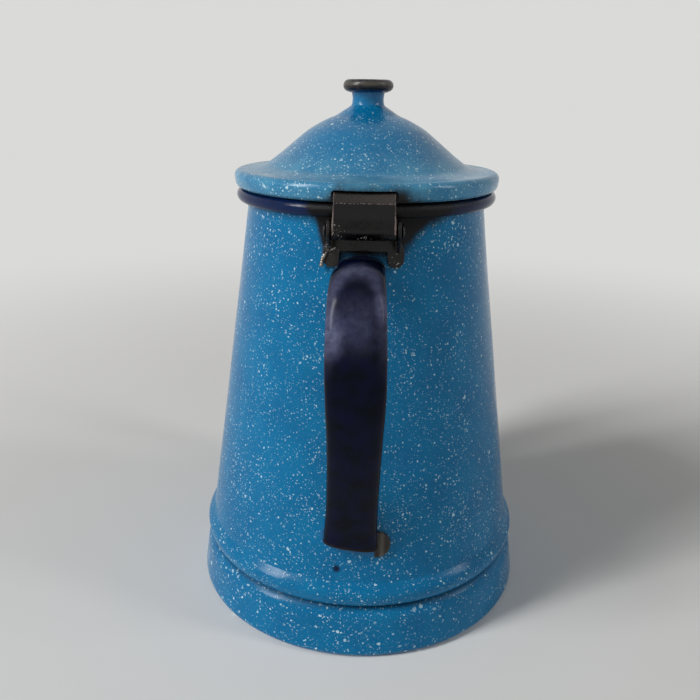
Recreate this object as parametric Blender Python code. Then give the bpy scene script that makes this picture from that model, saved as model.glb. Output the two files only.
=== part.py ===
"""Speckled enamel coffee pot with a hinged lid, at its real size in metres.

The pot stands on z = 0 with its axis on Z. The handle and the hinge are at -Y, the spout at +Y.
Each pressed, rolled or bent piece is its own object. The lid's pieces hang on an empty that lies
on the axis of the hinge pin.
"""

import math

import bmesh
import bpy
from mathutils import Matrix, Vector

# Body: a rolled cone of sheet steel on a pressed base pan
BASE_RADIUS = 0.0700
RIM_RADIUS = 0.0504
RIM_TOP_HEIGHT = 0.1685
SHEET = 0.0010
BASE_CORNER = 0.0028
BAND_HEIGHT = 0.0210
BAND_TAPER = 0.0016
GROOVE_HEIGHT = 0.0065
BEAD_SET_IN = 0.0021
BEAD_TUCK = 0.0026
BEAD_HEIGHT = 0.0050
SHOULDER_SET_IN = 0.0029
SHOULDER_HEIGHT = 0.0050
CURL_RADIUS = 0.0025
NECK_HEIGHT = 0.0055

# Lid: a pressed dome with a drawn neck, a skirt inside it and a crimped cap on the neck
LID_OVERHANG = 0.0008
LID_LIP_HEIGHT = 0.0062
LID_LIP_TUCK = 0.0010
LID_LIP_ROUND = 0.0026
DOME_HEIGHT = 0.0235
NECK_RADIUS = 0.0060
NECK_LENGTH = 0.0058
NECK_FLARE = 0.0009
FLARE_FLANGE = 0.0008
KNOB_RADIUS = 0.0095
KNOB_ROUND = 0.0022
KNOB_SHEET = 0.0008
SKIRT_PLAY = 0.0010
SKIRT_DEPTH = 0.0088
SKIRT_NOTCH_WIDTH = 0.0560

# Hinge: a bent strap on the lid, a bracket with two ears on the body and a pin through both
PIN_RADIUS = 0.0016
PIN_OUT = 0.0006
PIN_DROP = 0.0060
PIN_HEAD = 0.0009
PIN_HEAD_LENGTH = 0.0010
STRAP_WIDTH = 0.0218
STRAP_SHEET = 0.0012
STRAP_FLANGE_DEPTH = 0.0028
STRAP_FLANGE_LENGTH = 0.0070
STRAP_SLOPE_RISE = 0.0026
TONGUE_WIDTH = 0.0140
TONGUE_LENGTH = 0.0125
BRACKET_SHEET = 0.0012
BRACKET_LEG_WIDTH = 0.0060
BRACKET_LEG_LENGTH = 0.0055
EAR_RADIUS = 0.0040

# Handle: a hollow crowned strap, open along its back
HANDLE_WIDTH = 0.0190
HANDLE_DEPTH = 0.0070
HANDLE_SHEET = 0.0012
HANDLE_SLOT = 0.0040
HANDLE_EDGE_ROUND = 0.0016
HANDLE_REACH = 0.0334
HANDLE_ROOT_DROP = 0.0184
HANDLE_FOOT_RISE = 0.0158
HANDLE_LEAN = 0.0025
HANDLE_END_TILT = math.radians(10)
FOOT_PLATE_WIDTH = 0.0265
FOOT_PLATE_HEIGHT = 0.0098
FOOT_PLATE_RISE = 0.0012

# Spout: a gooseneck over a patch of small holes in the body
SPOUT_LOW = 0.0385
SPOUT_HEIGHT = 0.1225
SPOUT_REACH = 0.0425
SPOUT_ROOT_WIDTH = 0.0350
SPOUT_SHEET = 0.0012
SPOUT_ROOT_PLUNGE = 0.0080
STRAINER_HOLE_RADIUS = 0.0016
STRAINER_PITCH = 0.0062
STRAINER_COLUMNS = 5
STRAINER_ROWS = 5
STRAINER_RISE = 0.0185

# Fits: the gap between pieces that touch, and how far a cutter passes its piece
GAP = 0.0003
OVERRUN = 0.0050

# Fineness
ROUND_STEPS = 48
SMALL_STEPS = 20
BEAD_STEPS = 3
CURL_STEPS = 8
WIRE_STEPS = 8
HOLE_STEPS = 8

# Outlines as shares of the sizes they follow
BAND_TOP_SHARES = (  # in from the band's edge towards the lap, and up
    (0.08, 0.30),
    (0.25, 0.57),
    (0.50, 0.79),
    (0.75, 0.94),
)
SHOULDER_SHARES = (  # in from the bead towards the cone, and up
    (0.06, 0.18),
    (0.21, 0.37),
    (0.46, 0.58),
    (0.73, 0.76),
    (0.91, 0.89),
)
DOME_SHARES = (  # of the lid's radius, and of the dome's height
    (0.850, 0.012),
    (0.770, 0.054),
    (0.721, 0.124),
    (0.660, 0.222),
    (0.604, 0.322),
    (0.500, 0.506),
    (0.420, 0.638),
    (0.307, 0.770),
    (0.234, 0.837),
    (0.183, 0.909),
    (0.145, 0.960),
)
HANDLE_SHARES = (  # out from the wall, up from foot to root, width, depth, aside to the left
    (-0.040, 1.000, 0.76, 0.90, 0.00),
    (0.240, 1.014, 0.81, 0.95, 0.20),
    (0.500, 1.021, 0.87, 1.00, 0.40),
    (0.715, 1.003, 0.93, 1.00, 0.54),
    (0.890, 0.947, 0.98, 1.00, 0.56),
    (0.985, 0.858, 1.01, 1.00, 0.52),
    (0.990, 0.765, 1.03, 1.00, 0.50),
    (0.895, 0.640, 1.02, 1.00, 0.46),
    (0.655, 0.453, 0.97, 0.96, 0.52),
    (0.350, 0.236, 0.97, 0.88, 0.72),
    (0.155, 0.089, 1.01, 0.80, 0.90),
    (0.050, 0.000, 1.05, 0.76, 1.00),
)
SPOUT_UPPER_SHARES = (  # out from the wall and up, along the side that faces the body
    (-0.14, 0.320),
    (0.00, 0.350),
    (0.06, 0.420),
    (0.10, 0.520),
    (0.17, 0.660),
    (0.30, 0.790),
    (0.48, 0.900),
    (0.68, 1.000),
)
SPOUT_LOWER_SHARES = (  # the same along the side that faces away
    (-0.05, 0.000),
    (0.18, 0.030),
    (0.38, 0.130),
    (0.52, 0.300),
    (0.60, 0.490),
    (0.69, 0.680),
    (0.82, 0.850),
    (1.00, 0.970),
)
SPOUT_WIDTH_SHARES = (1.00, 0.93, 0.82, 0.70, 0.59, 0.50, 0.44, 0.43)
NECK_STRAIGHT_SHARE = 0.3
CROWN_START_SHARE = -0.02
CROWN_FULLNESS = 0.85

# Worked out from the sizes above
BEAD_RADIUS = BASE_RADIUS - BEAD_SET_IN
BEAD_TOP = BAND_HEIGHT + BEAD_HEIGHT
SHOULDER_RADIUS = BEAD_RADIUS - SHOULDER_SET_IN
SHOULDER_TOP = BEAD_TOP + SHOULDER_HEIGHT
TUCK_RADIUS = BEAD_RADIUS - BEAD_TUCK
LAP_RADIUS = TUCK_RADIUS - SHEET - GAP
CURL_CENTRE = (RIM_RADIUS - CURL_RADIUS, RIM_TOP_HEIGHT - CURL_RADIUS)
CURL_BORE = CURL_RADIUS - SHEET
MOUTH_RADIUS = CURL_CENTRE[0] - CURL_BORE
CONE_TOP = CURL_CENTRE[1] - NECK_HEIGHT
LID_RADIUS = RIM_RADIUS + LID_OVERHANG
SEAT_HEIGHT = RIM_TOP_HEIGHT + GAP
LIP_BOTTOM = SEAT_HEIGHT + SHEET / 2
LIP_TOP = LIP_BOTTOM + LID_LIP_HEIGHT
DOME_TOP = LIP_TOP + DOME_HEIGHT
NECK_TOP = DOME_TOP + NECK_LENGTH
KNOB_CENTRE_HEIGHT = NECK_TOP + SHEET
PIN_Y = -(RIM_RADIUS + PIN_OUT)
PIN_Z = CURL_CENTRE[1] - PIN_DROP
KNUCKLE_RADIUS = PIN_RADIUS + GAP + STRAP_SHEET
EAR_INSIDE = STRAP_WIDTH / 2 + GAP
EAR_OUTSIDE = EAR_INSIDE + BRACKET_SHEET
HANDLE_ROOT = CURL_CENTRE[1] - HANDLE_ROOT_DROP
HANDLE_FOOT = SHOULDER_TOP + HANDLE_FOOT_RISE


def wall_radius(height):
    """Outer radius of the body's cone at a height above the shoulder."""
    share = (height - SHOULDER_TOP) / (CONE_TOP - SHOULDER_TOP)
    return SHOULDER_RADIUS + (MOUTH_RADIUS - SHOULDER_RADIUS) * share


def arc(centre, radius, start, end, steps):
    """Points on an arc, with the angles in degrees from the first axis towards the second."""
    angles = [math.radians(start + (end - start) * step / steps) for step in range(steps + 1)]
    return [(centre[0] + radius * math.cos(a), centre[1] + radius * math.sin(a)) for a in angles]


def blend(start, start_slope, end, end_slope, steps):
    """Points between two (radius, height) points on a smooth curve with the given slopes."""
    rise = end[1] - start[1]
    points = []
    for step in range(1, steps):
        t = step / steps
        radius = (
            (2 * t**3 - 3 * t**2 + 1) * start[0]
            + (t**3 - 2 * t**2 + t) * start_slope * rise
            + (3 * t**2 - 2 * t**3) * end[0]
            + (t**3 - t**2) * end_slope * rise
        )
        points.append((radius, start[1] + rise * t))
    return points


def between(start, end, shares):
    """Points between two points, as shares of the way in and of the way up."""
    return [
        (start[0] + (end[0] - start[0]) * share_in, start[1] + (end[1] - start[1]) * share_up)
        for share_in, share_up in shares
    ]


def smooth_line(points, steps):
    """A smooth line through points of any number of coordinates, with this many steps a span."""
    vectors = [Vector(point) for point in points]
    ends = [2 * vectors[0] - vectors[1], *vectors, 2 * vectors[-1] - vectors[-2]]
    line = []
    for a, b, c, d in zip(ends, ends[1:], ends[2:], ends[3:]):
        for step in range(steps):
            t = step / steps
            bend = (2 * a - 5 * b + 4 * c - d) * t**2 + (3 * b - a - 3 * c + d) * t**3
            line.append(b + ((c - a) * t + bend) / 2)
    return [*line, vectors[-1]]


def offset_line(line, distance):
    """The line moved this far to its left, with mitred corners."""
    moved = []
    for index, point in enumerate(line):
        before = Vector(line[max(index - 1, 0)])
        after = Vector(line[min(index + 1, len(line) - 1)])
        here = Vector(point)
        first = (here - before).normalized() if index else (after - here).normalized()
        last = (after - here).normalized() if index < len(line) - 1 else first
        left = Vector((-first.y - last.y, first.x + last.x)).normalized()
        spread = left.dot(Vector((-first.y, first.x)))
        moved.append(tuple(here + left * distance / spread))
    return moved


def skin(line, thickness):
    """The closed outline of a sheet whose right face is this line."""
    return [*line, *reversed(offset_line(line, thickness))]


def material(name, colour, roughness, metallic=0.0):
    finish = bpy.data.materials.new(name)
    finish.use_nodes = True
    shader = finish.node_tree.nodes["Principled BSDF"]
    shader.inputs["Base Color"].default_value = (*colour, 1.0)
    shader.inputs["Roughness"].default_value = roughness
    shader.inputs["Metallic"].default_value = metallic
    return finish


def add_object(name, shape, finish=None):
    """Turns a bmesh into an object, with its faces pointing out."""
    bmesh.ops.recalc_face_normals(shape, faces=shape.faces)
    mesh = bpy.data.meshes.new(name)
    shape.to_mesh(mesh)
    shape.free()
    mesh.shade_smooth()
    mesh.set_sharp_from_angle(angle=math.radians(35))
    piece = bpy.data.objects.new(name, mesh)
    bpy.context.scene.collection.objects.link(piece)
    if finish:
        mesh.materials.append(finish)
    else:
        piece.hide_render = True
        piece.display_type = "WIRE"
    return piece


def turned(outline, closed=True, steps=ROUND_STEPS):
    """Spins a (radius, height) outline round the Z axis. An open one starts and ends on the axis."""
    shape = bmesh.new()
    points = [shape.verts.new((radius, 0, height)) for radius, height in outline]
    pairs = list(zip(points, points[1:]))
    if closed:
        pairs.append((points[-1], points[0]))
    edges = [shape.edges.new(pair) for pair in pairs]
    bmesh.ops.spin(
        shape,
        geom=[*points, *edges],
        cent=(0, 0, 0),
        axis=(0, 0, 1),
        angle=math.tau,
        steps=steps,
        use_merge=True,
    )
    bmesh.ops.remove_doubles(shape, verts=shape.verts, dist=GAP / 100)
    return shape


def prism(outline, low, high, place):
    """Extrudes a flat outline from low to high. place turns (across, up, along) into (x, y, z)."""
    shape = bmesh.new()
    face = shape.faces.new([shape.verts.new(place(u, v, low)) for u, v in outline])
    swept = bmesh.ops.extrude_face_region(shape, geom=[face])["geom"]
    travel = Vector(place(0, 0, high)) - Vector(place(0, 0, low))
    moved = [item for item in swept if isinstance(item, bmesh.types.BMVert)]
    bmesh.ops.translate(shape, verts=moved, vec=travel)
    return shape


def along_x(u, v, along):
    return (along, u, v)


def along_y(u, v, along):
    return (u, along, v)


def lofted(rings, looped=False):
    """Joins closed rings of equal length. The last joins the first if looped, or both are closed."""
    shape = bmesh.new()
    rows = [[shape.verts.new(point) for point in ring] for ring in rings]
    pairs = list(zip(rows, rows[1:]))
    if looped:
        pairs.append((rows[-1], rows[0]))
    else:
        shape.faces.new(rows[0])
        shape.faces.new(rows[-1])
    for row, following in pairs:
        for index in range(len(row)):
            after = (index + 1) % len(row)
            shape.faces.new((row[index], row[after], following[after], following[index]))
    return shape


def combine(piece, tool, operation="DIFFERENCE"):
    modifier = piece.modifiers.new(tool.name, "BOOLEAN")
    modifier.object = tool
    modifier.operation = operation
    modifier.solver = "EXACT"
    return piece


def body_line():
    """The outward face of the body's sheet, from its lower edge up and round inside the rim's curl."""
    bead = [
        (TUCK_RADIUS + BEAD_TUCK * out, BEAD_TOP - BEAD_HEIGHT * down)
        for down, out in arc((0, 0), 1, 0, 90, BEAD_STEPS)
    ]
    return [
        *bead,
        *between(bead[-1], (SHOULDER_RADIUS, SHOULDER_TOP), SHOULDER_SHARES),
        (SHOULDER_RADIUS, SHOULDER_TOP),
        (MOUTH_RADIUS, CONE_TOP),
        *arc(CURL_CENTRE, CURL_BORE, 180, -110, CURL_STEPS),
    ]


def wall_block(name, distance):
    """A solid of the body's outside, grown by a distance, that cuts or bounds what lies on the wall."""
    line = [point for point in body_line() if point[1] <= CONE_TOP]
    grown = [(radius + distance, height) for radius, height in line]
    outline = [
        (0, RIM_TOP_HEIGHT),
        (grown[-1][0], RIM_TOP_HEIGHT),
        *reversed(grown),
        (grown[0][0], 0),
        (0, 0),
    ]
    return add_object(name, turned(outline, closed=False))


def wall_plate(name, outline, thickness, finish):
    """A plate whose outer face follows the body's wall at -Y, with an (x, z) outline."""
    inside = -MOUTH_RADIUS / 2
    plate = add_object(name, prism(outline, -(BASE_RADIUS + OVERRUN), inside, along_y), finish)
    return combine(plate, wall_block(name + "_face", GAP + thickness), "INTERSECT")


def build_base_pan(finish):
    band_edge = (BASE_RADIUS - BAND_TAPER, BAND_HEIGHT - GROOVE_HEIGHT)
    lap_start = (LAP_RADIUS, BAND_HEIGHT - GAP)
    corner_centre = (BASE_RADIUS - BASE_CORNER, BASE_CORNER)
    line = [
        (0, 0),
        *arc(corner_centre, BASE_CORNER, -90, 0, 4),
        band_edge,
        *between(band_edge, lap_start, BAND_TOP_SHARES),
        lap_start,
        (LAP_RADIUS, BEAD_TOP - GAP),
    ]
    return add_object("base_pan", turned(skin(line, SHEET), closed=False), finish)


def strainer_cutter():
    """The holes through the wall inside the spout's root, in staggered rows."""
    shape = bmesh.new()
    centre = SPOUT_LOW + STRAINER_RISE
    row_pitch = STRAINER_PITCH * math.sqrt(3) / 2
    depth = BASE_RADIUS
    for row in range(STRAINER_ROWS):
        rise = (row - (STRAINER_ROWS - 1) / 2) * row_pitch
        count = STRAINER_COLUMNS - abs(row - STRAINER_ROWS // 2)
        for column in range(count):
            across = (column - (count - 1) / 2) * STRAINER_PITCH
            place = Matrix.Translation((across, depth, centre + rise)) @ Matrix.Rotation(
                math.pi / 2, 4, "X"
            )
            bmesh.ops.create_cone(
                shape,
                cap_ends=True,
                segments=HOLE_STEPS,
                radius1=STRAINER_HOLE_RADIUS,
                radius2=STRAINER_HOLE_RADIUS,
                depth=depth,
                matrix=place,
            )
    return add_object("strainer_cutter", shape)


def build_body_shell(finish):
    shell = add_object("body_shell", turned(skin(body_line(), SHEET)), finish)
    return combine(shell, strainer_cutter())


def build_rim_wire(finish):
    ring = arc(CURL_CENTRE, CURL_BORE - GAP, 0, -360, WIRE_STEPS)[:-1]
    return add_object("rim_wire", turned(ring), finish)


def spout_point(share):
    out, up = share
    reach = wall_radius(SPOUT_LOW) + out * SPOUT_REACH
    return (reach, SPOUT_LOW + up * SPOUT_HEIGHT)


def spout_rings(shrink):
    """Oval rings up the spout, each between its upper and lower line, made smaller by shrink."""
    stations = [
        (*spout_point(upper), *spout_point(lower), SPOUT_ROOT_WIDTH / 2 * width)
        for upper, lower, width in zip(SPOUT_UPPER_SHARES, SPOUT_LOWER_SHARES, SPOUT_WIDTH_SHARES)
    ]
    first = list(stations[0])
    first[0] -= SPOUT_ROOT_PLUNGE
    first[2] -= SPOUT_ROOT_PLUNGE
    rings = []
    for upper_y, upper_z, lower_y, lower_z, half in smooth_line([first, *stations[1:]], 2):
        upper = Vector((0, upper_y, upper_z))
        lower = Vector((0, lower_y, lower_z))
        centre = (upper + lower) / 2
        rise = (upper - lower) / 2
        rise -= rise.normalized() * shrink
        side = Vector((half - shrink, 0, 0))
        turns = [math.tau * step / SMALL_STEPS for step in range(SMALL_STEPS)]
        rings.append([centre + side * math.cos(a) + rise * math.sin(a) for a in turns])
    return rings


def build_spout(finish, gap_block):
    """The tube, whose inner rings run back down inside the outer ones, cut to the body's wall."""
    rings = [*spout_rings(0), *reversed(spout_rings(SPOUT_SHEET))]
    return combine(add_object("spout", lofted(rings, looped=True), finish), gap_block)


def handle_section(width, depth):
    """The closed outline of the bent strap, as (across, out) points. It is open at the back."""
    half, back = width / 2, -depth / 2
    crown_start = depth * CROWN_START_SHARE
    side = [
        (HANDLE_SLOT / 2, back),
        *arc((half - HANDLE_EDGE_ROUND, back + HANDLE_EDGE_ROUND), HANDLE_EDGE_ROUND, -90, 0, 3),
    ]
    for turn in (0, 22, 45, 68):
        across = half * math.cos(math.radians(turn)) ** CROWN_FULLNESS
        out = math.sin(math.radians(turn)) ** CROWN_FULLNESS
        side.append((across, crown_start + (depth / 2 - crown_start) * out))
    mirrored = [(-across, out) for across, out in reversed(side)]
    return skin([*side, (0, depth / 2), *mirrored], HANDLE_SHEET)


def handle_stations():
    """Places along the handle's middle, as (y, z, width, depth, x)."""
    stations = []
    for out, up, width, depth, aside in HANDLE_SHARES:
        height = HANDLE_FOOT + (HANDLE_ROOT - HANDLE_FOOT) * up
        y = -(wall_radius(height) + out * HANDLE_REACH)
        x = -HANDLE_LEAN * aside
        stations.append((y, height, HANDLE_WIDTH * width, HANDLE_DEPTH * depth, x))
    return smooth_line(stations, 2)


def build_handle(finish, root_block, foot_block):
    stations = handle_stations()
    centres = [Vector((station[4], station[0], station[1])) for station in stations]
    rings = []
    for index, station in enumerate(stations):
        before = centres[max(index - 1, 0)]
        after = centres[min(index + 1, len(stations) - 1)]
        along = Vector((0, after.y - before.y, after.z - before.z)).normalized()
        outward = Vector((0, along.z, -along.y))
        tilt = math.tan(HANDLE_END_TILT) if index == len(stations) - 1 else 0
        rings.append(
            [
                centres[index] + Vector((across, 0, 0)) + outward * out + along * across * tilt
                for across, out in handle_section(station[2], station[3])
            ]
        )
    handle = add_object("handle", lofted(rings), finish)
    combine(handle, root_block)
    return combine(handle, foot_block)


def foot_room():
    """The stretch of the wall at the handle's foot, where the bracket lies under the handle."""
    reach = BASE_RADIUS * 2
    top = HANDLE_FOOT + FOOT_PLATE_HEIGHT
    bottom = HANDLE_FOOT - FOOT_PLATE_HEIGHT
    outline = [(-reach, bottom), (reach, bottom), (reach, top), (-reach, top)]
    return add_object("foot_room", prism(outline, -reach, reach, along_y))


def build_foot_bracket(finish, gap_block):
    """A round-ended plate under the handle's foot, set askew like the foot itself."""
    half, end = FOOT_PLATE_WIDTH / 2, FOOT_PLATE_HEIGHT / 2
    level = [*arc((half - end, 0), end, -90, 90, 6), *arc((end - half, 0), end, 90, 270, 6)]
    centre = Vector((-HANDLE_LEAN / 4, HANDLE_FOOT + FOOT_PLATE_RISE))
    turn = Matrix.Rotation(-HANDLE_END_TILT, 2)
    outline = [tuple(centre + turn @ Vector(point)) for point in level]
    plate = wall_plate("handle_foot_bracket", outline, BRACKET_SHEET, finish)
    return combine(plate, gap_block)


def build_hinge_bracket(finish, gap_block):
    """A plate on the wall that straddles the handle's root, with an ear at each side of the strap."""
    root_half = HANDLE_WIDTH * HANDLE_SHARES[1][2] / 2 + GAP
    root_top = HANDLE_ROOT + HANDLE_DEPTH / 2 + BRACKET_SHEET
    plate_top = PIN_Z - KNUCKLE_RADIUS - GAP
    leg_bottom = root_top - BRACKET_LEG_LENGTH
    leg_half = root_half + BRACKET_LEG_WIDTH
    round_off = BRACKET_LEG_WIDTH / 2
    leg = arc((leg_half - round_off, leg_bottom + round_off), round_off, -180, 0, 6)
    other_leg = [(-x, z) for x, z in reversed(leg)]
    outline = [
        (root_half, root_top),
        *leg,
        (leg_half, root_top),
        (EAR_OUTSIDE, plate_top),
        (-EAR_OUTSIDE, plate_top),
        (-leg_half, root_top),
        *other_leg,
        (-root_half, root_top),
    ]
    bracket = wall_plate("hinge_bracket", outline, BRACKET_SHEET, finish)
    ear = [
        *arc((PIN_Y, PIN_Z), EAR_RADIUS, 60, 200, 8),
        (-wall_radius(root_top) - GAP - BRACKET_SHEET / 2, root_top),
        (-wall_radius(root_top) + BRACKET_SHEET, root_top),
        (-MOUTH_RADIUS + BRACKET_SHEET, CONE_TOP),
    ]
    ears = bmesh.new()
    for low, high in ((EAR_INSIDE, EAR_OUTSIDE), (-EAR_OUTSIDE, -EAR_INSIDE)):
        half = prism(ear, low, high, along_x)
        mesh = bpy.data.meshes.new("ear")
        half.to_mesh(mesh)
        half.free()
        ears.from_mesh(mesh)
    combine(bracket, add_object("ear_stock", ears), "UNION")
    combine(bracket, gap_block)
    hole = arc((PIN_Y, PIN_Z), PIN_RADIUS + GAP, 0, 360, SMALL_STEPS)[:-1]
    across = EAR_OUTSIDE + OVERRUN
    return combine(bracket, add_object("ear_hole", prism(hole, -across, across, along_x)))


def build_hinge_pin(finish):
    """A turned pin with a peened head outside each ear."""
    shank = EAR_OUTSIDE + GAP
    head = PIN_RADIUS + PIN_HEAD
    dome = PIN_HEAD_LENGTH
    side = [
        (PIN_RADIUS, shank),
        (head, shank),
        (head, shank + dome / 2),
        (PIN_RADIUS, shank + dome),
        (0, shank + dome),
    ]
    outline = [(radius, -height) for radius, height in reversed(side)] + side
    pin = add_object("hinge_pin", turned(outline, closed=False, steps=SMALL_STEPS), finish)
    pin.matrix_world = Matrix.Translation((0, PIN_Y, PIN_Z)) @ Matrix.Rotation(math.pi / 2, 4, "Y")
    return pin


def strap_line():
    """The strap's outer face seen from the side, as (y, z): round the pin, up the front, into the lid."""
    front = PIN_Y - KNUCKLE_RADIUS
    bend = (front, LIP_BOTTOM)
    slope_top = (-LID_RADIUS, bend[1] + STRAP_SLOPE_RISE)
    under_lip = (slope_top[0] + SHEET * 2, slope_top[1] + SHEET / 2)
    tongue_rise = LIP_TOP - SHEET - GAP
    tongue_start = (-(LID_RADIUS - LID_LIP_ROUND) + SHEET, tongue_rise - SHEET / 2)
    tongue_end = (slope_top[0] + TONGUE_LENGTH, tongue_rise + GAP * 3)
    return [
        *arc((PIN_Y, PIN_Z), KNUCKLE_RADIUS, 475, 180, 14),
        bend,
        slope_top,
        under_lip,
        tongue_start,
        tongue_end,
    ]


def build_lid_strap(finish):
    half = STRAP_WIDTH / 2
    outline = skin(strap_line(), -STRAP_SHEET)
    strap = add_object("lid_strap", prism(outline, -half, half, along_x), finish)
    front = PIN_Y - KNUCKLE_RADIUS
    top = LIP_BOTTOM + STRAP_SHEET / 2
    bottom = top - STRAP_FLANGE_LENGTH
    flange = [
        (front + STRAP_SHEET / 2, bottom),
        (front + STRAP_FLANGE_DEPTH, bottom + STRAP_SHEET),
        (front + STRAP_FLANGE_DEPTH, top),
        (front + STRAP_SHEET / 2, top - STRAP_SHEET),
    ]
    for side, low in (("left", -half), ("right", half - STRAP_SHEET)):
        stock = prism(flange, low, low + STRAP_SHEET, along_x)
        combine(strap, add_object("strap_flange_" + side, stock), "UNION")
    trim = TONGUE_WIDTH / 2
    inner = LID_RADIUS - SHEET * 2
    for side, low, high in (("left", -half - OVERRUN, -trim), ("right", trim, half + OVERRUN)):
        corner = [(-inner, CONE_TOP), (0, CONE_TOP), (0, DOME_TOP), (-inner, DOME_TOP)]
        combine(strap, add_object("tongue_trim_" + side, prism(corner, low, high, along_x)))
    return strap


def lid_line():
    """The lid's upper face from its lip up to the flange at the top of its neck."""
    lip_centre = (LID_RADIUS - LID_LIP_ROUND, LIP_TOP - LID_LIP_ROUND)
    neck = (NECK_RADIUS, DOME_TOP + NECK_LENGTH * NECK_STRAIGHT_SHARE)
    flared = (NECK_RADIUS + NECK_FLARE, NECK_TOP)
    return [
        (LID_RADIUS - LID_LIP_TUCK, LIP_BOTTOM),
        *arc(lip_centre, LID_LIP_ROUND, 0, 90, 4),
        *[(LID_RADIUS * out, LIP_TOP + DOME_HEIGHT * up) for out, up in DOME_SHARES],
        (NECK_RADIUS + SHEET / 4, DOME_TOP),
        neck,
        *blend(neck, 0, flared, NECK_FLARE / NECK_LENGTH, 3),
        flared,
        (flared[0] + FLARE_FLANGE, NECK_TOP + SHEET / 4),
    ]


def build_lid_shell(finish):
    """The pressed lid, notched at its lip where the strap goes in."""
    shell = add_object("lid_shell", turned(skin(lid_line(), SHEET)), finish)
    half = STRAP_WIDTH / 2 + GAP
    slope_top = LIP_BOTTOM + STRAP_SLOPE_RISE + SHEET
    outer = LID_RADIUS + OVERRUN
    inner = LID_RADIUS - SHEET * 2 - GAP
    notch = [(-outer, CONE_TOP), (-inner, CONE_TOP), (-inner, slope_top), (-outer, slope_top)]
    return combine(shell, add_object("lip_notch", prism(notch, -half, half, along_x)))


def build_lid_flange(finish):
    """The ring inside the lid, with a skirt that drops into the mouth and stops short at the hinge."""
    skirt = MOUTH_RADIUS - SHEET - SKIRT_PLAY
    line = [
        (LID_RADIUS - SHEET - LID_LIP_TUCK - GAP, SEAT_HEIGHT),
        (skirt, SEAT_HEIGHT),
        (skirt, SEAT_HEIGHT - SKIRT_DEPTH),
    ]
    flange = add_object("lid_flange", turned(skin(line, -SHEET)), finish)
    half, stub = SKIRT_NOTCH_WIDTH / 2, SEAT_HEIGHT - GAP
    notch = [(-half, 0), (half, 0), (half, stub), (-half, stub)]
    return combine(flange, add_object("skirt_notch", prism(notch, -BASE_RADIUS, 0, along_y)))


def build_knob_cap(finish):
    """The cap crimped over the neck's flange."""
    centre = (KNOB_RADIUS - KNOB_ROUND, KNOB_CENTRE_HEIGHT)
    line = [(0, centre[1] + KNOB_ROUND), *arc(centre, KNOB_ROUND, 90, -90, 6)]
    lower = [*reversed(offset_line(line, -KNOB_SHEET))]
    shape = turned([*line, *lower], closed=False, steps=ROUND_STEPS // 2)
    return add_object("knob_cap", shape, finish)


def main():
    for leftover in list(bpy.data.objects):
        bpy.data.objects.remove(leftover)
    speckled = material("speckled_blue_enamel", (0.010, 0.150, 0.380), 0.22)
    cobalt = material("cobalt_enamel", (0.010, 0.010, 0.090), 0.20)
    scorched = material("scorched_steel", (0.020, 0.017, 0.015), 0.55, 0.4)
    rusty = material("rusty_steel", (0.080, 0.050, 0.030), 0.70, 0.3)
    wire = material("drawn_wire", (0.350, 0.340, 0.320), 0.40, 1.0)

    wall_gap = wall_block("wall_gap", GAP)
    plate_gap = wall_block("plate_gap", GAP + BRACKET_SHEET + GAP)
    combine(plate_gap, foot_room(), "INTERSECT")
    build_base_pan(speckled)
    build_body_shell(speckled)
    build_rim_wire(wire)
    build_spout(speckled, wall_gap)
    build_handle(cobalt, wall_gap, plate_gap)
    build_foot_bracket(rusty, wall_gap)
    build_hinge_bracket(scorched, wall_gap)
    build_hinge_pin(scorched)

    axis = bpy.data.objects.new("lid_hinge_axis", None)
    axis.location = (0, PIN_Y, PIN_Z)
    bpy.context.scene.collection.objects.link(axis)
    lid_pieces = (
        build_lid_strap(scorched),
        build_lid_shell(speckled),
        build_lid_flange(speckled),
        build_knob_cap(scorched),
    )
    for piece in lid_pieces:
        tools = [modifier.object for modifier in piece.modifiers]
        for rider in (piece, *tools):
            rider.parent = axis
            rider.matrix_parent_inverse = Matrix.Translation((0, -PIN_Y, -PIN_Z))


main()
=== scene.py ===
"""Looks of a speckled enamel coffee pot with a hinged lid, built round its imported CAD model.

Lengths are in metres in the model's frame: the middle of the base stands on the floor at the
origin, the handle and the hinge are at -Y, and the spout is at +Y. Each class is a sub-assembly
of the real pot. It holds its own sizes, builds its meshes from them and dresses them.
"""

from __future__ import annotations

import logging
import math
from collections.abc import Callable, Sequence
from dataclasses import dataclass
from enum import Enum

import bmesh
import bpy
from mathutils import Matrix, Vector, noise

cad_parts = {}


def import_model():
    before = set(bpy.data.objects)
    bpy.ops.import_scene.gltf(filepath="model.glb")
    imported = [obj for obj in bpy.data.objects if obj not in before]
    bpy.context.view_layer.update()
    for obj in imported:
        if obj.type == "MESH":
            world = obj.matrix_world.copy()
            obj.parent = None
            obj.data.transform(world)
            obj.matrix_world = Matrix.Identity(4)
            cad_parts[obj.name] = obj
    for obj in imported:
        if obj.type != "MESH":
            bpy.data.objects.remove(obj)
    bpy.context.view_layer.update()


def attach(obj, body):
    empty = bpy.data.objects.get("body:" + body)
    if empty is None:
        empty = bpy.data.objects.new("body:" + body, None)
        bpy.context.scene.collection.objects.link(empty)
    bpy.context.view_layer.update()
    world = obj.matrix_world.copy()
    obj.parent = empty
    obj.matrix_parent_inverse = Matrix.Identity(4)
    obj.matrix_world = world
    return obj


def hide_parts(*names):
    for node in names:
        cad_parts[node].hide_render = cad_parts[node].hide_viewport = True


LOG = logging.getLogger("coffee_pot")
MM = 0.001
# The sockets of a mix's two colours, and settings that many nodes share.
MIX_A, MIX_B = 6, 7
RGBA = {"out": 2, "data_type": "RGBA"}
SMOOTH = {"interpolation_type": "SMOOTHSTEP"}

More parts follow.
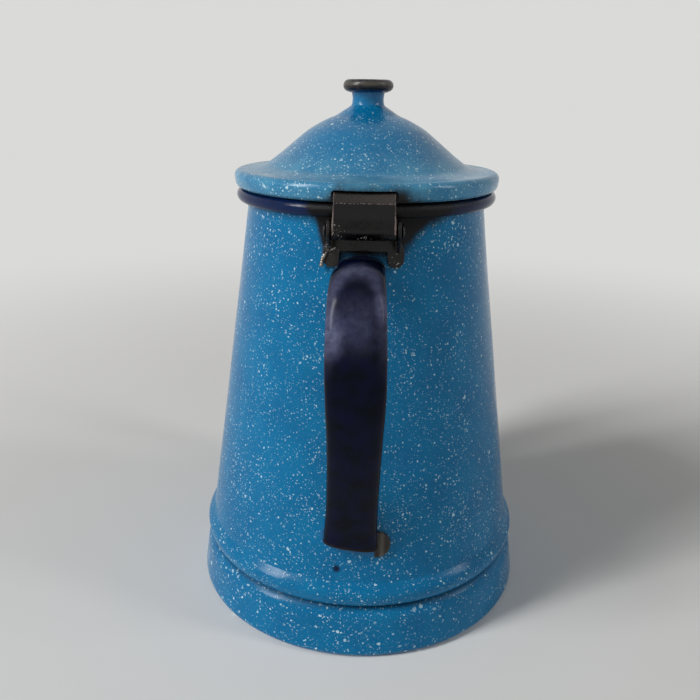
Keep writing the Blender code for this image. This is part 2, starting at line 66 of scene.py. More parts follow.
Point = Sequence[float]
Line = list[tuple[float, float]]
Pairs = Sequence[tuple[float, float]]
Rows = tuple[tuple[float, ...], ...]
Fade = tuple[float, float]  # where something is full, and where it has ended
Rule = Callable[[Vector, Vector], Vector]
Shape = bmesh.types.BMesh
Piece = bpy.types.Object
Finish = bpy.types.Material
Tree = bpy.types.NodeTree
Socket = bpy.types.NodeSocket


class Body(Enum):
    """The CAD bodies that pieces ride on."""

    POT = "pot"
    LID = "lid"


class Slot(Enum):
    """The record's material slots."""

    SPECKLED = "speckled_enamel"
    COBALT = "cobalt_enamel"
    SCORCHED = "scorched_steel"
    RUSTY = "rusty_steel"
    WIRE = "drawn_wire"


@dataclass(frozen=True)
class PotSizes:
    """Sizes that several sub-assemblies share, as the solids have them.

    The wall is a straight cone between the shoulder and the rim's neck.
    """

    base_radius: float = 0.0700
    bead_radius: float = 0.0679
    tuck_radius: float = 0.0653
    band_height: float = 0.0210
    bead_top: float = 0.0260
    shoulder_radius: float = 0.0650
    shoulder_top: float = 0.0310
    mouth_radius: float = 0.0464
    cone_top: float = 0.1605
    curl_radius: float = 0.0025
    curl_middle: tuple[float, float] = (0.0479, 0.1660)
    sheet: float = 0.0010
    pin_y: float = -0.0510
    pin_z: float = 0.1600
    lid_radius: float = 0.0512
    lip_bottom: float = 0.1693
    lip_top: float = 0.1755
    lip_round: float = 0.0026
    slope_rise: float = 0.0026
    strap_half: float = 0.0109
    gap: float = 0.0003

    def slope(self) -> float:
        """How much the wall's radius changes per metre of height."""
        return (self.mouth_radius - self.shoulder_radius) / (self.cone_top - self.shoulder_top)

    def wall(self, height: float) -> float:
        """The outer radius of the wall at a height above the shoulder."""
        return self.shoulder_radius + self.slope() * (height - self.shoulder_top)

    def on_wall(self, across: float, height: float, out: float = 0.0) -> Vector:
        """A point on the wall's handle side, seen from the front.

        Args:
            across: Its X.
            height: Its Z.
            out: How far it stands off the wall.

        Returns:
            The point in the model's frame.
        """
        radius = self.wall(height) + out
        return Vector((across, -math.sqrt(radius**2 - across**2), height))


def arc(middle: Point, radius: float, start: float, end: float, steps: int) -> Line:
    """Points on an arc.

    Args:
        middle: The arc's centre in its plane.
        radius: Its radius.
        start: The first angle in degrees, from the first axis towards the second.
        end: The last angle.
        steps: How many chords it has.

    Returns:
        One point more than there are chords.
    """
    turns = [math.radians(start + (end - start) * step / steps) for step in range(steps + 1)]
    return [(middle[0] + radius * math.cos(a), middle[1] + radius * math.sin(a)) for a in turns]


def flow(points: Sequence[Point], steps: int) -> list[Vector]:
    """A smooth line through points of any number of coordinates.

    Args:
        points: The points that it passes through.
        steps: How many chords it has between two of them.

    Returns:
        The line's points, both ends among them.
    """
    knots = [Vector(point) for point in points]
    ends = [2 * knots[0] - knots[1], *knots, 2 * knots[-1] - knots[-2]]
    line = []
    for a, b, c, d in zip(ends, ends[1:], ends[2:], ends[3:]):
        for step in range(steps):
            t = step / steps
            bend = (2 * a - 5 * b + 4 * c - d) * t**2 + (3 * b - a - 3 * c + d) * t**3
            line.append(b + ((c - a) * t + bend) / 2)
    return [*line, knots[-1]]


def between(start: Point, end: Point, shares: Pairs) -> Line:
    """Points between two points, as shares of the way across and of the way up."""
    wide, tall = end[0] - start[0], end[1] - start[1]
    return [(start[0] + wide * across, start[1] + tall * up) for across, up in shares]


def flat_flow(points: Sequence[Point], steps: int) -> Line:
    """A smooth line through flat points, as plain pairs."""
    return [(point[0], point[1]) for point in flow(points, steps)]


def aside(line: Line, distance: float) -> Line:
    """The line moved this far to its left, with mitred corners."""
    moved = []
    for index, point in enumerate(line):
        here = Vector(point)
        before = Vector(line[max(index - 1, 0)])
        after = Vector(line[min(index + 1, len(line) - 1)])
        first = (here - before).normalized() if index else (after - here).normalized()
        last = (after - here).normalized() if index < len(line) - 1 else first
        left = Vector((-first.y - last.y, first.x + last.x)).normalized()
        spread = left.dot(Vector((-first.y, first.x)))
        moved.append(tuple(here + left * distance / spread))
    return moved


def sheet_outline(line: Line, thickness: float) -> Line:
    """The closed outline of a sheet, whose thickness is to the left of one of its faces."""
    return [*line, *reversed(aside(line, thickness))]


def turned(outline: Line, angles: Sequence[float], closed: bool = True) -> Shape:
    """Spins a (radius, height) outline round the pot's axis.

    Args:
        outline: The outline, which starts and ends on the axis unless it is closed.
        angles: The places round the axis, in radians, where the outline stands.
        closed: Whether its last point joins its first.

    Returns:
        A closed mesh whose faces point outwards.
    """
    shape = bmesh.new()
    rings = []
    for radius, height in outline:
        turns = angles if radius > MM / 100 else angles[:1]
        ring = [(radius * math.cos(a), radius * math.sin(a), height) for a in turns]
        rings.append([shape.verts.new(point) for point in ring])
    pairs = list(zip(rings, rings[1:]))
    if closed:
        pairs.append((rings[-1], rings[0]))
    for low, high in pairs:
        for here in range(len(angles)):
            after = (here + 1) % len(angles)
            corners = [low[here % len(low)], low[after % len(low)]]
            corners += [high[after % len(high)], high[here % len(high)]]
            unlike = list(dict.fromkeys(corners))
            if len(unlike) > 2:
                shape.faces.new(unlike)
    bmesh.ops.recalc_face_normals(shape, faces=shape.faces)
    return shape


def even_turns(steps: int) -> list[float]:
    """Angles in equal steps round the axis."""
    return [math.tau * step / steps for step in range(steps)]


def bridge(shape: Shape, row: Sequence[bmesh.types.BMVert], following: Sequence) -> None:
    """Adds the faces between two closed rows of vertices."""
    for here in range(len(row)):
        after = (here + 1) % len(row)
        shape.faces.new((row[here], row[after], following[after], following[here]))


def lofted(rings: Sequence[Sequence[Vector]], sheet: bool = False) -> Shape:
    """Joins closed rings of equal length and closes both ends.

    Args:
        rings: The rings in order.
        sheet: Whether a ring is a sheet's outline, whose second half runs back along its first.

    Returns:
        A closed mesh whose faces point outwards.
    """
    shape = bmesh.new()
    rows = [[shape.verts.new(point) for point in ring] for ring in rings]
    count = len(rows[0])
    for row, following in zip(rows, rows[1:]):
        bridge(shape, row, following)
    for row in (rows[0], rows[-1]):
        if sheet:
            for here in range(count // 2 - 1):
                far = count - 1 - here
                shape.faces.new((row[here], row[here + 1], row[far - 1], row[far]))
        else:
            shape.faces.new(row)
    bmesh.ops.recalc_face_normals(shape, faces=shape.faces)
    return shape


def prism(outline: Line, low: float, high: float, axis: str) -> Shape:
    """Extrudes a flat outline along X or Y.

    Args:
        outline: (y, z) points for an X prism, or (x, z) points for a Y one.
        low: Where it starts along its axis.
        high: Where it ends.
        axis: "X" or "Y".

    Returns:
        A closed mesh whose faces point outwards.
    """
    shape = bmesh.new()
    ends = []
    for along in (low, high):
        spots = [(along, u, v) if axis == "X" else (u, along, v) for u, v in outline]
        ends.append([shape.verts.new(spot) for spot in spots])
    for end in ends:
        shape.faces.new(end)
    bridge(shape, *ends)
    bmesh.ops.recalc_face_normals(shape, faces=shape.faces)
    return shape


def merged(shapes: Sequence[Shape]) -> Shape:
    """Puts several meshes into one, and frees them."""
    whole = bmesh.new()
    for shape in shapes:
        mesh = bpy.data.meshes.new("stock")
        shape.to_mesh(mesh)
        shape.free()
        whole.from_mesh(mesh)
        bpy.data.meshes.remove(mesh)
    return whole


def add_object(name: str, data: bpy.types.ID) -> Piece:
    """A new object in the scene, from its mesh, light or camera."""
    piece = bpy.data.objects.new(name, data)
    bpy.context.scene.collection.objects.link(piece)
    return piece


def make_object(name: str, shape: Shape) -> Piece:
    """Turns a bmesh into an object at the origin, shaded smooth."""
    mesh = bpy.data.meshes.new(name)
    shape.to_mesh(mesh)
    shape.free()
    mesh.shade_smooth()
    return add_object(name, mesh)


def settle(piece: Piece) -> Piece:
    """Turns a piece's live modifiers into its plain mesh, and removes them."""
    evaluated = piece.evaluated_get(bpy.context.evaluated_depsgraph_get())
    plain = bpy.data.meshes.new_from_object(evaluated)
    piece.modifiers.clear()
    piece.data = plain
    return piece


def cut(piece: Piece, tool: Piece) -> Piece:
    """Takes a tool's solid out of a piece, and removes the tool."""
    knife = piece.modifiers.new("cut", "BOOLEAN")
    knife.object = tool
    knife.operation = "DIFFERENCE"
    knife.solver = "EXACT"
    settle(piece)
    bpy.data.objects.remove(tool)
    piece.data.set_sharp_from_angle(angle=math.radians(40))
    return piece


def fused(name: str, shapes: Sequence[Shape], grain: float, rounds: int) -> Piece:
    """Joins solids into one skin with softened edges, as sheet under scale and soot has.

    Args:
        name: The piece's name.
        shapes: The solids, which overlap.
        grain: The size of a face of the skin.
        rounds: How often the skin is smoothed.

    Returns:
        The piece.
    """
    piece = make_object(name, merged(shapes))
    skin = piece.modifiers.new("skin", "REMESH")
    skin.mode = "VOXEL"
    skin.voxel_size = grain
    soft = piece.modifiers.new("soft", "SMOOTH")
    soft.factor = 0.5
    soft.iterations = rounds
    settle(piece)
    piece.data.shade_smooth()
    return piece


def reshape(piece: Piece, move: Rule) -> Piece:
    """Moves each vertex to what a rule gives for its place and its normal."""
    spots = [move(vertex.co.copy(), vertex.normal.copy()) for vertex in piece.data.vertices]
    for vertex, spot in zip(piece.data.vertices, spots):
        vertex.co = spot
    piece.data.update()
    return piece


def pushed_out(spot: Vector, least: float) -> Vector:
    """The point, moved away from the pot's axis if it is nearer to it than this."""
    factor = max(least / math.hypot(spot.x, spot.y), 1.0)
    return Vector((spot.x * factor, spot.y * factor, spot.z))


def paint(piece: Piece, name: str, rule: Callable[[Vector], float]) -> None:
    """Stores a number from 0 to 1 at each vertex, for its material to read."""
    layer = piece.data.attributes.new(name, "FLOAT", "POINT")
    layer.data.foreach_set("value", [rule(vertex.co) for vertex in piece.data.vertices])


def near(value: float, full: float, none: float) -> float:
    """1 up to full, 0 from none on, and a smooth step between them."""
    share = min(max((none - value) / (none - full), 0.0), 1.0)
    return share * share * (3 - 2 * share)


@dataclass(frozen=True)
class Patch:
    """A soft-edged patch on a face: its middle, where it is full and where it ends.

    The last two numbers squeeze distances across and up, which makes it an oval.
    """

    across: float
    up: float
    full: float
    none: float
    strength: float = 1.0
    wide: float = 1.0
    tall: float = 1.0

    def at(self, across: float, up: float) -> float:
        """How strong it is at a place."""
        off = math.hypot((across - self.across) * self.wide, (up - self.up) * self.tall)
        return near(off, self.full, self.none) * self.strength


@dataclass(frozen=True)
class Skin:
    """How a surface has sunk here and there: how deep, how wide its hollows are, and its seed."""

    depth: float
    size: float
    seed: float

    def sink(self, spot: Vector, normal: Vector) -> Vector:
        """The place that a point sinks to, never outwards."""
        share = noise.fractal(spot / self.size + Vector((self.seed,) * 3), 1.0, 2.0, 3)
        return spot - normal * self.depth * min(max(0.5 + 0.5 * share, 0.0), 1.0)


def hand_over(
    piece: Piece,
    body: Body,
    finishes: Sequence[Finish],
    nodes: Sequence[str] = (),
) -> Piece:
    """Dresses a piece, and tells the frame what it rides on and what it stands for.

    Args:
        piece: The finished piece.
        body: The body that it moves with.
        finishes: Its materials.
        nodes: The CAD nodes that it replaces.

    Returns:
        The piece.
    """
    if finishes:
        piece.data.materials.clear()
    for finish in finishes:
        piece.data.materials.append(finish)
    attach(piece, body.value)
    if nodes:
        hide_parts(*nodes)
    triangles = sum(len(face.vertices) - 2 for face in piece.data.polygons)
    LOG.info("%s: %d triangles, rides on %s", piece.name, triangles, body.value)
    return piece


def linear(code: str) -> tuple[float, float, float, float]:
    """An sRGB hex code as a linear colour."""
    shares = [int(code.lstrip("#")[index : index + 2], 16) / 255 for index in (0, 2, 4)]
    light = [s / 12.92 if s <= 0.04045 else ((s + 0.055) / 1.055) ** 2.4 for s in shares]
    return (*light, 1.0)


def add(
    tree: Tree,
    kind: str,
    inputs: dict[int | str, object] | Sequence[object] = (),
    out: int | str = 0,
    **settings: object,
) -> Socket:
    """Adds a node with its settings, and sets or links its inputs.

    Args:
        tree: The tree that it goes into.
        kind: Its type's name.
        inputs: What its inputs get, in their order or by number or name: a value, an sRGB hex
            colour or another node's output.
        out: The output that is wanted.
        settings: Its properties.

    Returns:
        The wanted output.
    """
    node = tree.nodes.new(kind)
    for key, value in settings.items():
        setattr(node, key, value)
    for key, value in inputs.items() if isinstance(inputs, dict) else enumerate(inputs):
        if isinstance(value, Socket):
            tree.links.new(value, node.inputs[key])
        elif isinstance(value, str) and value.startswith("#"):
            node.inputs[key].default_value = linear(value)
        else:
            node.inputs[key].default_value = value
    return node.outputs[out] if node.outputs else None


def start_finish(name: str) -> tuple[Finish, Tree, Socket]:
    """A new material, its tree, and the place on the piece in millimetres."""
    finish = bpy.data.materials.new(name)
    finish.use_nodes = True
    tree = finish.node_tree
    place = add(tree, "ShaderNodeTexCoord", out="Object")
    scaled = add(tree, "ShaderNodeVectorMath", {0: place, "Scale": 1 / MM}, operation="SCALE")
    return finish, tree, scaled


def end_finish(
    tree: Tree,
    colour: Socket,
    roughness: Socket,
    height_mm: Socket,
    metallic: float = 0.0,
    specular: float = 0.5,
) -> None:
    """Joins colour, roughness and relief to the material's shader.

    Args:
        tree: The material's tree.
        colour: Its base colour.
        roughness: Its roughness.
        height_mm: Its relief, in millimetres.
        metallic: How metallic it is.
        specular: How strongly it mirrors what it faces.
    """
    shader = tree.nodes["Principled BSDF"]
    relief = add(tree, "ShaderNodeBump", {"Distance": MM, "Height": height_mm})
    tree.links.new(colour, shader.inputs["Base Color"])
    tree.links.new(roughness, shader.inputs["Roughness"])
    tree.links.new(relief, shader.inputs["Normal"])
    shader.inputs["Metallic"].default_value = metallic
    shader.inputs["Specular IOR Level"].default_value = specular


@dataclass(frozen=True)
class SootStain:
    """Black from the flame and from smoke, burnt on below the rim round the hinge.

    It reaches further to the right than to the left, and dies out downwards. Sizes are in
    millimetres.
    """

    left: float = -23.6
    right: float = 50.0
    left_depth: float = 118.0
    right_depth: float = 34.0
    deepest: float = 19.0
    fall: float = 2.2
    middle: float = 167.5
    cloud_size: float = 5.0
    cloud_reach: float = 6.0
    soft: float = 4.5
    front: tuple[float, float] = (-20.0, -30.0)

    def mask(self, tree: Tree, place: Socket) -> Socket:
        """How black each place is, from 0 to 1.

        Args:
            tree: The material's tree.
            place: The place in millimetres.

        Returns:
            The mask.
        """
        axes = add(tree, "ShaderNodeSeparateXYZ", (place,)).node.outputs
        reach = []
        for edge, depth in ((self.left, self.left_depth), (self.right, self.right_depth)):
            share = add(tree, "ShaderNodeMapRange", (axes[0], edge, 0.0))
            share = add(tree, "ShaderNodeMath", (share, self.fall), operation="POWER")
            reach.append(add(tree, "ShaderNodeMath", (share, depth), operation="MULTIPLY"))
        depth = add(tree, "ShaderNodeMath", (reach[0], reach[1]), operation="MINIMUM")
        depth = add(tree, "ShaderNodeMath", (depth, self.deepest), operation="MINIMUM")
        below = add(tree, "ShaderNodeMath", (self.middle, axes[2]), operation="SUBTRACT")
        below = add(tree, "ShaderNodeMath", (below,), operation="ABSOLUTE")
        spare = add(tree, "ShaderNodeMath", (depth, below), operation="SUBTRACT")
        cloud = {"Vector": place, "Scale": 1 / self.cloud_size, "Detail": 4.0, "Roughness": 0.6}
        cloud = add(tree, "ShaderNodeTexNoise", cloud)
        swell = (cloud, self.cloud_reach, -self.cloud_reach / 2)
        swell = add(tree, "ShaderNodeMath", swell, operation="MULTIPLY_ADD")
        spare = add(tree, "ShaderNodeMath", (spare, swell), operation="ADD")
        black = add(tree, "ShaderNodeMapRange", (spare, -self.soft / 2, self.soft), **SMOOTH)
        front = add(tree, "ShaderNodeMapRange", (axes[1], *self.front))
        return add(tree, "ShaderNodeMath", (black, front), operation="MULTIPLY")


@dataclass(frozen=True)
class Flecks:
    """One size of white fleck in the enamel. Sizes are in millimetres.

    The flecks are drops of white slip that melt into the blue, so they are round but uneven,
    of every size up to the largest, and some lie deeper in the glass and look bluer. They are
    balls in space whose cut with the surface shows, so they also vary by where they are cut.
    """

    spacing: float
    radius: float
    share: float
    soft: float = 0.08


@dataclass(frozen=True)
class SpeckledEnamel:
    """Blue vitreous enamel with white flecks: glass on steel, fired, so smooth and glossy.

    What it gives the eye: a clear blue that is deeper where the glass is thin over an edge, a
    soft gloss with a slight orange peel, and flecks from specks too fine to see one by one, a
    haze at this distance, up to drops of 1.5 mm.
    """

    name: str
    blue: str = "#0175A8"
    deep: str = "#016B9F"
    # A milky tone for random haze, which is also the colour of a painted sheen where one is set.
    milk_and_sheen: str = "#2389B4"
    fleck: str = "#C4E6F2"
    cobalt: str = "#08204C"
    soot: str = "#050405"
    # Dirt and painted shade in the seam's crease.
    crease_dirt_and_shade: str = "#06304E"
    pit_blue: str = "#06203F"
    flecks: tuple[Flecks, ...] = (
        Flecks(2.6, 0.74, 0.12),
        Flecks(1.2, 0.44, 0.60),
        Flecks(0.78, 0.28, 0.64),
        Flecks(0.45, 0.16, 0.40, 0.10),
    )
    ragged: float = 0.75
    ragged_scale: float = 0.75
    crowding: float = 0.4
    specular: float = 0.17
    # Heights where a painted sheen lies, strongest at the lower one.
    sheen_band: tuple[float, float] | None = None
    seed: float = 0.0
    trim: bool = False
    plain: tuple[float, float] | None = None
    groove: tuple[float, float] | None = None
    pit: tuple[float, float, float, float] | None = None
    stain: SootStain | None = None

    def speckle(
        self,
        tree: Tree,
        place: Socket,
        moved: Socket,
    ) -> Socket:
        """How white each place is from flecks of all sizes.

        Args:
            tree: The material's tree.
            place: The place in millimetres.
            moved: The same, moved by the seed.

        Returns:
            The mask.
        """
        ragged = {"Vector": moved, "Scale": self.ragged_scale, "Detail": 2.0}
        ragged = add(tree, "ShaderNodeTexNoise", ragged, "Color")
        shift = add(tree, "ShaderNodeVectorMath", (ragged, (0.5,) * 3), operation="SUBTRACT")
        shift = (shift, (self.ragged * 2,) * 3, moved)
        warped = add(tree, "ShaderNodeVectorMath", shift, operation="MULTIPLY_ADD")
        crowd = add(tree, "ShaderNodeTexNoise", {"Vector": moved, "Scale": 0.055, "Detail": 2.0})
        crowd = (crowd, self.crowding, -self.crowding / 2)
        crowd = add(tree, "ShaderNodeMath", crowd, operation="MULTIPLY_ADD")
        if self.plain:
            height = add(tree, "ShaderNodeSeparateXYZ", (place,), 2)
            low, high = self.plain
            fade = add(tree, "ShaderNodeMapRange", (height, low, high, 0.0, -0.6))
            crowd = add(tree, "ShaderNodeMath", (crowd, fade), operation="ADD")
        white = None
        for size in self.flecks:
            cells = add(tree, "ShaderNodeTexVoronoi", {"Vector": warped, "Scale": 1 / size.spacing})
            chance = add(tree, "ShaderNodeSeparateColor", (cells.node.outputs["Color"],))
            depth = chance.node.outputs[1]
            chance = add(tree, "ShaderNodeMath", (chance, crowd), operation="ADD")
            limit = (chance, 1 - size.share, 1.0, 0.0, size.radius / size.spacing)
            limit = add(tree, "ShaderNodeMapRange", limit)
            inside = add(tree, "ShaderNodeMath", (limit, cells), operation="SUBTRACT")
            inside = (inside, size.spacing / size.soft)
            inside = add(tree, "ShaderNodeMath", inside, operation="MULTIPLY", use_clamp=True)
            depth = add(tree, "ShaderNodeMapRange", (depth, 0.0, 1.0, 0.32, 1.0))
            spot = add(tree, "ShaderNodeMath", (inside, depth), operation="MULTIPLY")
            both = (spot, 0.0 if white is None else white)
            white = add(tree, "ShaderNodeMath", both, operation="MAXIMUM")
        return white

    def edging(self, tree: Tree, place: Socket) -> Socket:
        """Where the cobalt edging is, along a line that wanders a little.

        Args:
            tree: The material's tree.
            place: The place in millimetres.

        Returns:
            The mask, from the attribute "trim", which is 0.5 on the line and 1 beyond 5 mm.
        """
        far = add(tree, "ShaderNodeAttribute", out="Fac", attribute_name="trim")
        wave = add(tree, "ShaderNodeTexNoise", {"Vector": place, "Scale": 0.12, "Detail": 1.0})
        wave = add(tree, "ShaderNodeMath", (wave, 0.07, far), operation="MULTIPLY_ADD")
        return add(tree, "ShaderNodeMapRange", (wave, 0.50, 0.57), **SMOOTH)

    def build(self) -> Finish:
        """The material."""
        finish, tree, place = start_finish(self.name)
        moved = add(tree, "ShaderNodeVectorMath", (place, (self.seed,) * 3), operation="ADD")
        pool = add(tree, "ShaderNodeTexNoise", {"Vector": moved, "Scale": 0.07, "Detail": 3.0})
        pool = add(tree, "ShaderNodeMapRange", (pool, 0.35, 0.65))
        colour = add(tree, "ShaderNodeMix", {0: pool, MIX_A: self.deep, MIX_B: self.blue}, **RGBA)
        haze = add(tree, "ShaderNodeTexNoise", {"Vector": moved, "Scale": 0.8, "Detail": 4.0})
        haze = add(tree, "ShaderNodeMapRange", (haze, 0.50, 0.75, 0.0, 0.30))
        colour = add(tree, "ShaderNodeMix", {0: haze, MIX_A: colour, MIX_B: self.milk_and_sheen}, **RGBA)
        # Painted sheen: the lower dome is mixed towards the milky colour, in place of the room's
        # reflection.
        if self.sheen_band:
            height = add(tree, "ShaderNodeSeparateXYZ", (place,), 2)
            low, high = self.sheen_band
            soft = add(tree, "ShaderNodeMapRange", (height, high, low, 0.0, 0.62), **SMOOTH)
            cloud = add(tree, "ShaderNodeTexNoise", {"Vector": moved, "Scale": 0.12, "Detail": 3.0})
            cloud = add(tree, "ShaderNodeMapRange", (cloud, 0.30, 0.65, 0.25))
            soft = add(tree, "ShaderNodeMath", (soft, cloud), operation="MULTIPLY")
            colour = add(tree, "ShaderNodeMix", {0: soft, MIX_A: colour, MIX_B: self.milk_and_sheen}, **RGBA)
        white = self.speckle(tree, place, moved)
        colour = add(tree, "ShaderNodeMix", {0: white, MIX_A: colour, MIX_B: self.fleck}, **RGBA)
        # The seam's crease under the bead: a darker band of dirt and painted shade.
        if self.groove:
            height = add(tree, "ShaderNodeSeparateXYZ", (place,), 2)
            middle, half = self.groove
            off = add(tree, "ShaderNodeMath", (height, middle), operation="SUBTRACT")
            off = add(tree, "ShaderNodeMath", (off,), operation="ABSOLUTE")
            line = add(tree, "ShaderNodeMapRange", (off, half, 0.0, 0.0, 0.90), **SMOOTH)
            colour = add(tree, "ShaderNodeMix", {0: line, MIX_A: colour, MIX_B: self.crease_dirt_and_shade}, **RGBA)
        if self.pit:
            off = {0: place, 1: self.pit[:3]}
            off = add(tree, "ShaderNodeVectorMath", off, "Value", operation="DISTANCE")
            hole = add(tree, "ShaderNodeMapRange", (off, self.pit[3], self.pit[3] * 0.35), **SMOOTH)
            colours = {0: hole, MIX_A: colour, MIX_B: self.pit_blue}
            colour = add(tree, "ShaderNodeMix", colours, **RGBA)
        if self.trim:
            edge = self.edging(tree, place)
            colours = {0: edge, MIX_A: colour, MIX_B: self.cobalt}
            colour = add(tree, "ShaderNodeMix", colours, **RGBA)
        smear = add(tree, "ShaderNodeTexNoise", {"Vector": place, "Scale": 0.11, "Detail": 5.0})
        rough = add(tree, "ShaderNodeMapRange", (smear, 0.35, 0.75, 0.17, 0.30))
        if self.groove:
            rough = add(tree, "ShaderNodeMath", (line, 0.6, rough), operation="MULTIPLY_ADD")
        if self.trim:
            rough = add(tree, "ShaderNodeMath", (edge, -0.08, rough), operation="MULTIPLY_ADD")
        peel = add(tree, "ShaderNodeTexNoise", {"Vector": moved, "Scale": 0.28, "Detail": 2.0})
        relief = add(tree, "ShaderNodeMath", (peel, 0.035, 0.0), operation="MULTIPLY_ADD")
        relief = add(tree, "ShaderNodeMath", (white, 0.012, relief), operation="MULTIPLY_ADD")
        if self.stain:
            black = self.stain.mask(tree, place)
            colour = add(tree, "ShaderNodeMix", {0: black, MIX_A: colour, MIX_B: self.soot}, **RGBA)
            rough = add(tree, "ShaderNodeMath", (black, 0.30, rough), operation="MULTIPLY_ADD")
            scale = add(tree, "ShaderNodeTexNoise", {"Vector": place, "Scale": 1.3, "Detail": 4.0})
            scale = add(tree, "ShaderNodeMath", (scale, black), operation="MULTIPLY")
            relief = add(tree, "ShaderNodeMath", (scale, 0.20, relief), operation="MULTIPLY_ADD")
        end_finish(tree, colour, rough, relief, specular=self.specular)
        return finish


@dataclass(frozen=True)
class CobaltEnamel:
    """Cobalt vitreous enamel: nearly black glass, blue where it is thin, brown where it is worn.

    What it gives the eye: a deep gloss with a painted lavender sheen: a painted reflection over
    the top bend and painted highlights on its sides, where the glass is also rougher from hands,
    which the attribute "rub" marks; and brown iron showing along the edges, which the attribute
    "wear" marks.
    """

    name: str = "vitreous enamel, cobalt, of the handle"
    dark: str = "#010617"
    thin: str = "#060D34"
    worn: str = "#2A1E1A"
    # The colour of the painted sheen and painted highlights, a lavender grey.
    haze: str = "#6A6D8C"
    specular: float = 0.09

    def build(self) -> Finish:
        """The material."""
        finish, tree, place = start_finish(self.name)
        # Painted sheen and highlights: this mask lightens the colour, and roughens it where hands
        # scuff the glass.
        sheen_and_scuff = add(tree, "ShaderNodeAttribute", out="Fac", attribute_name="sheen_and_scuff")
        pool = add(tree, "ShaderNodeTexNoise", {"Vector": place, "Scale": 0.16, "Detail": 5.0})
        pool = add(tree, "ShaderNodeMath", (sheen_and_scuff, 0.4, pool), operation="MULTIPLY_ADD")
        pool = add(tree, "ShaderNodeMapRange", (pool, 0.40, 0.85))
        colour = add(tree, "ShaderNodeMix", {0: pool, MIX_A: self.dark, MIX_B: self.thin}, **RGBA)
        lines = {"Vector": place, "Scale": 0.35, "Detail": 6.0, "Roughness": 0.62}
        lines = add(tree, "ShaderNodeTexNoise", lines)
        lines = add(tree, "ShaderNodeMapRange", (lines, 0.30, 0.66, 0.35))
        # Painted sheen: lavender mixed in over the painted reflection and highlights, broken by
        # fine lines.
        dull = add(tree, "ShaderNodeMath", (lines, sheen_and_scuff), operation="MULTIPLY")
        colour = add(tree, "ShaderNodeMix", {0: dull, MIX_A: colour, MIX_B: self.haze}, **RGBA)
        rough = add(tree, "ShaderNodeMapRange", (dull, 0.0, 0.8, 0.14, 0.27))
        relief = add(tree, "ShaderNodeTexNoise", {"Vector": place, "Scale": 0.25, "Detail": 2.0})
        relief = add(tree, "ShaderNodeMath", (relief, 0.05), operation="MULTIPLY")
        wear = add(tree, "ShaderNodeAttribute", out="Fac", attribute_name="wear")
        chips = add(tree, "ShaderNodeTexNoise", {"Vector": place, "Scale": 0.7, "Detail": 5.0})
        chips = add(tree, "ShaderNodeMath", (wear, chips), operation="ADD")
        chips = add(tree, "ShaderNodeMapRange", (chips, 0.92, 1.10), **SMOOTH)
        colour = add(tree, "ShaderNodeMix", {0: chips, MIX_A: colour, MIX_B: self.worn}, **RGBA)
        rough = add(tree, "ShaderNodeMath", (chips, 0.35, rough), operation="MULTIPLY_ADD")
        relief = add(tree, "ShaderNodeMath", (chips, -0.12, relief), operation="MULTIPLY_ADD")
        end_finish(tree, colour, rough, relief, specular=self.specular)
        return finish


@dataclass(frozen=True)
class ScaledSteel:
    """Sheet steel whose enamel has burnt or rusted away, under a hard skin of scale.

    What it gives the eye: a broken surface between satin and matt, in two dark tones, with a
    coarser crust in places and lighter metal where edges wear. The attribute "wear" marks edges,
    and "light" marks faces painted pale, which on the bracket's left leg is a painted sheen.
    """

    name: str
    dark: str
    tone: str
    edge: str
    pale: str
    tone_size: float = 4.0
    crust: float = 0.16
    shine: tuple[float, float] = (0.32, 0.62)
    metallic: float = 0.25
    specular: float = 0.5

    def build(self) -> Finish:
        """The material."""
        finish, tree, place = start_finish(self.name)
        patch = {"Vector": place, "Scale": 1 / self.tone_size, "Detail": 5.0, "Roughness": 0.6}
        patch = add(tree, "ShaderNodeTexNoise", patch)
        patch = add(tree, "ShaderNodeMapRange", (patch, 0.42, 0.68))
        colour = add(tree, "ShaderNodeMix", {0: patch, MIX_A: self.dark, MIX_B: self.tone}, **RGBA)
        fine = {"Vector": place, "Scale": 1.5, "Detail": 6.0, "Roughness": 0.65}
        fine = add(tree, "ShaderNodeTexNoise", fine)
        pale = add(tree, "ShaderNodeAttribute", out="Fac", attribute_name="light")
        broken = add(tree, "ShaderNodeMapRange", (fine, 0.25, 0.60, 0.45))
        pale = add(tree, "ShaderNodeMath", (pale, broken), operation="MULTIPLY")
        colour = add(tree, "ShaderNodeMix", {0: pale, MIX_A: colour, MIX_B: self.pale}, **RGBA)
        wear = add(tree, "ShaderNodeAttribute", out="Fac", attribute_name="wear")
        wear = add(tree, "ShaderNodeMath", (wear, fine), operation="ADD")
        wear = add(tree, "ShaderNodeMapRange", (wear, 0.95, 1.30), **SMOOTH)
        colour = add(tree, "ShaderNodeMix", {0: wear, MIX_A: colour, MIX_B: self.edge}, **RGBA)
        rough = add(tree, "ShaderNodeMapRange", (fine, 0.35, 0.65, *self.shine))
        relief = add(tree, "ShaderNodeMath", (fine, self.crust), operation="MULTIPLY")
        end_finish(tree, colour, rough, relief, self.metallic, self.specular)
        return finish


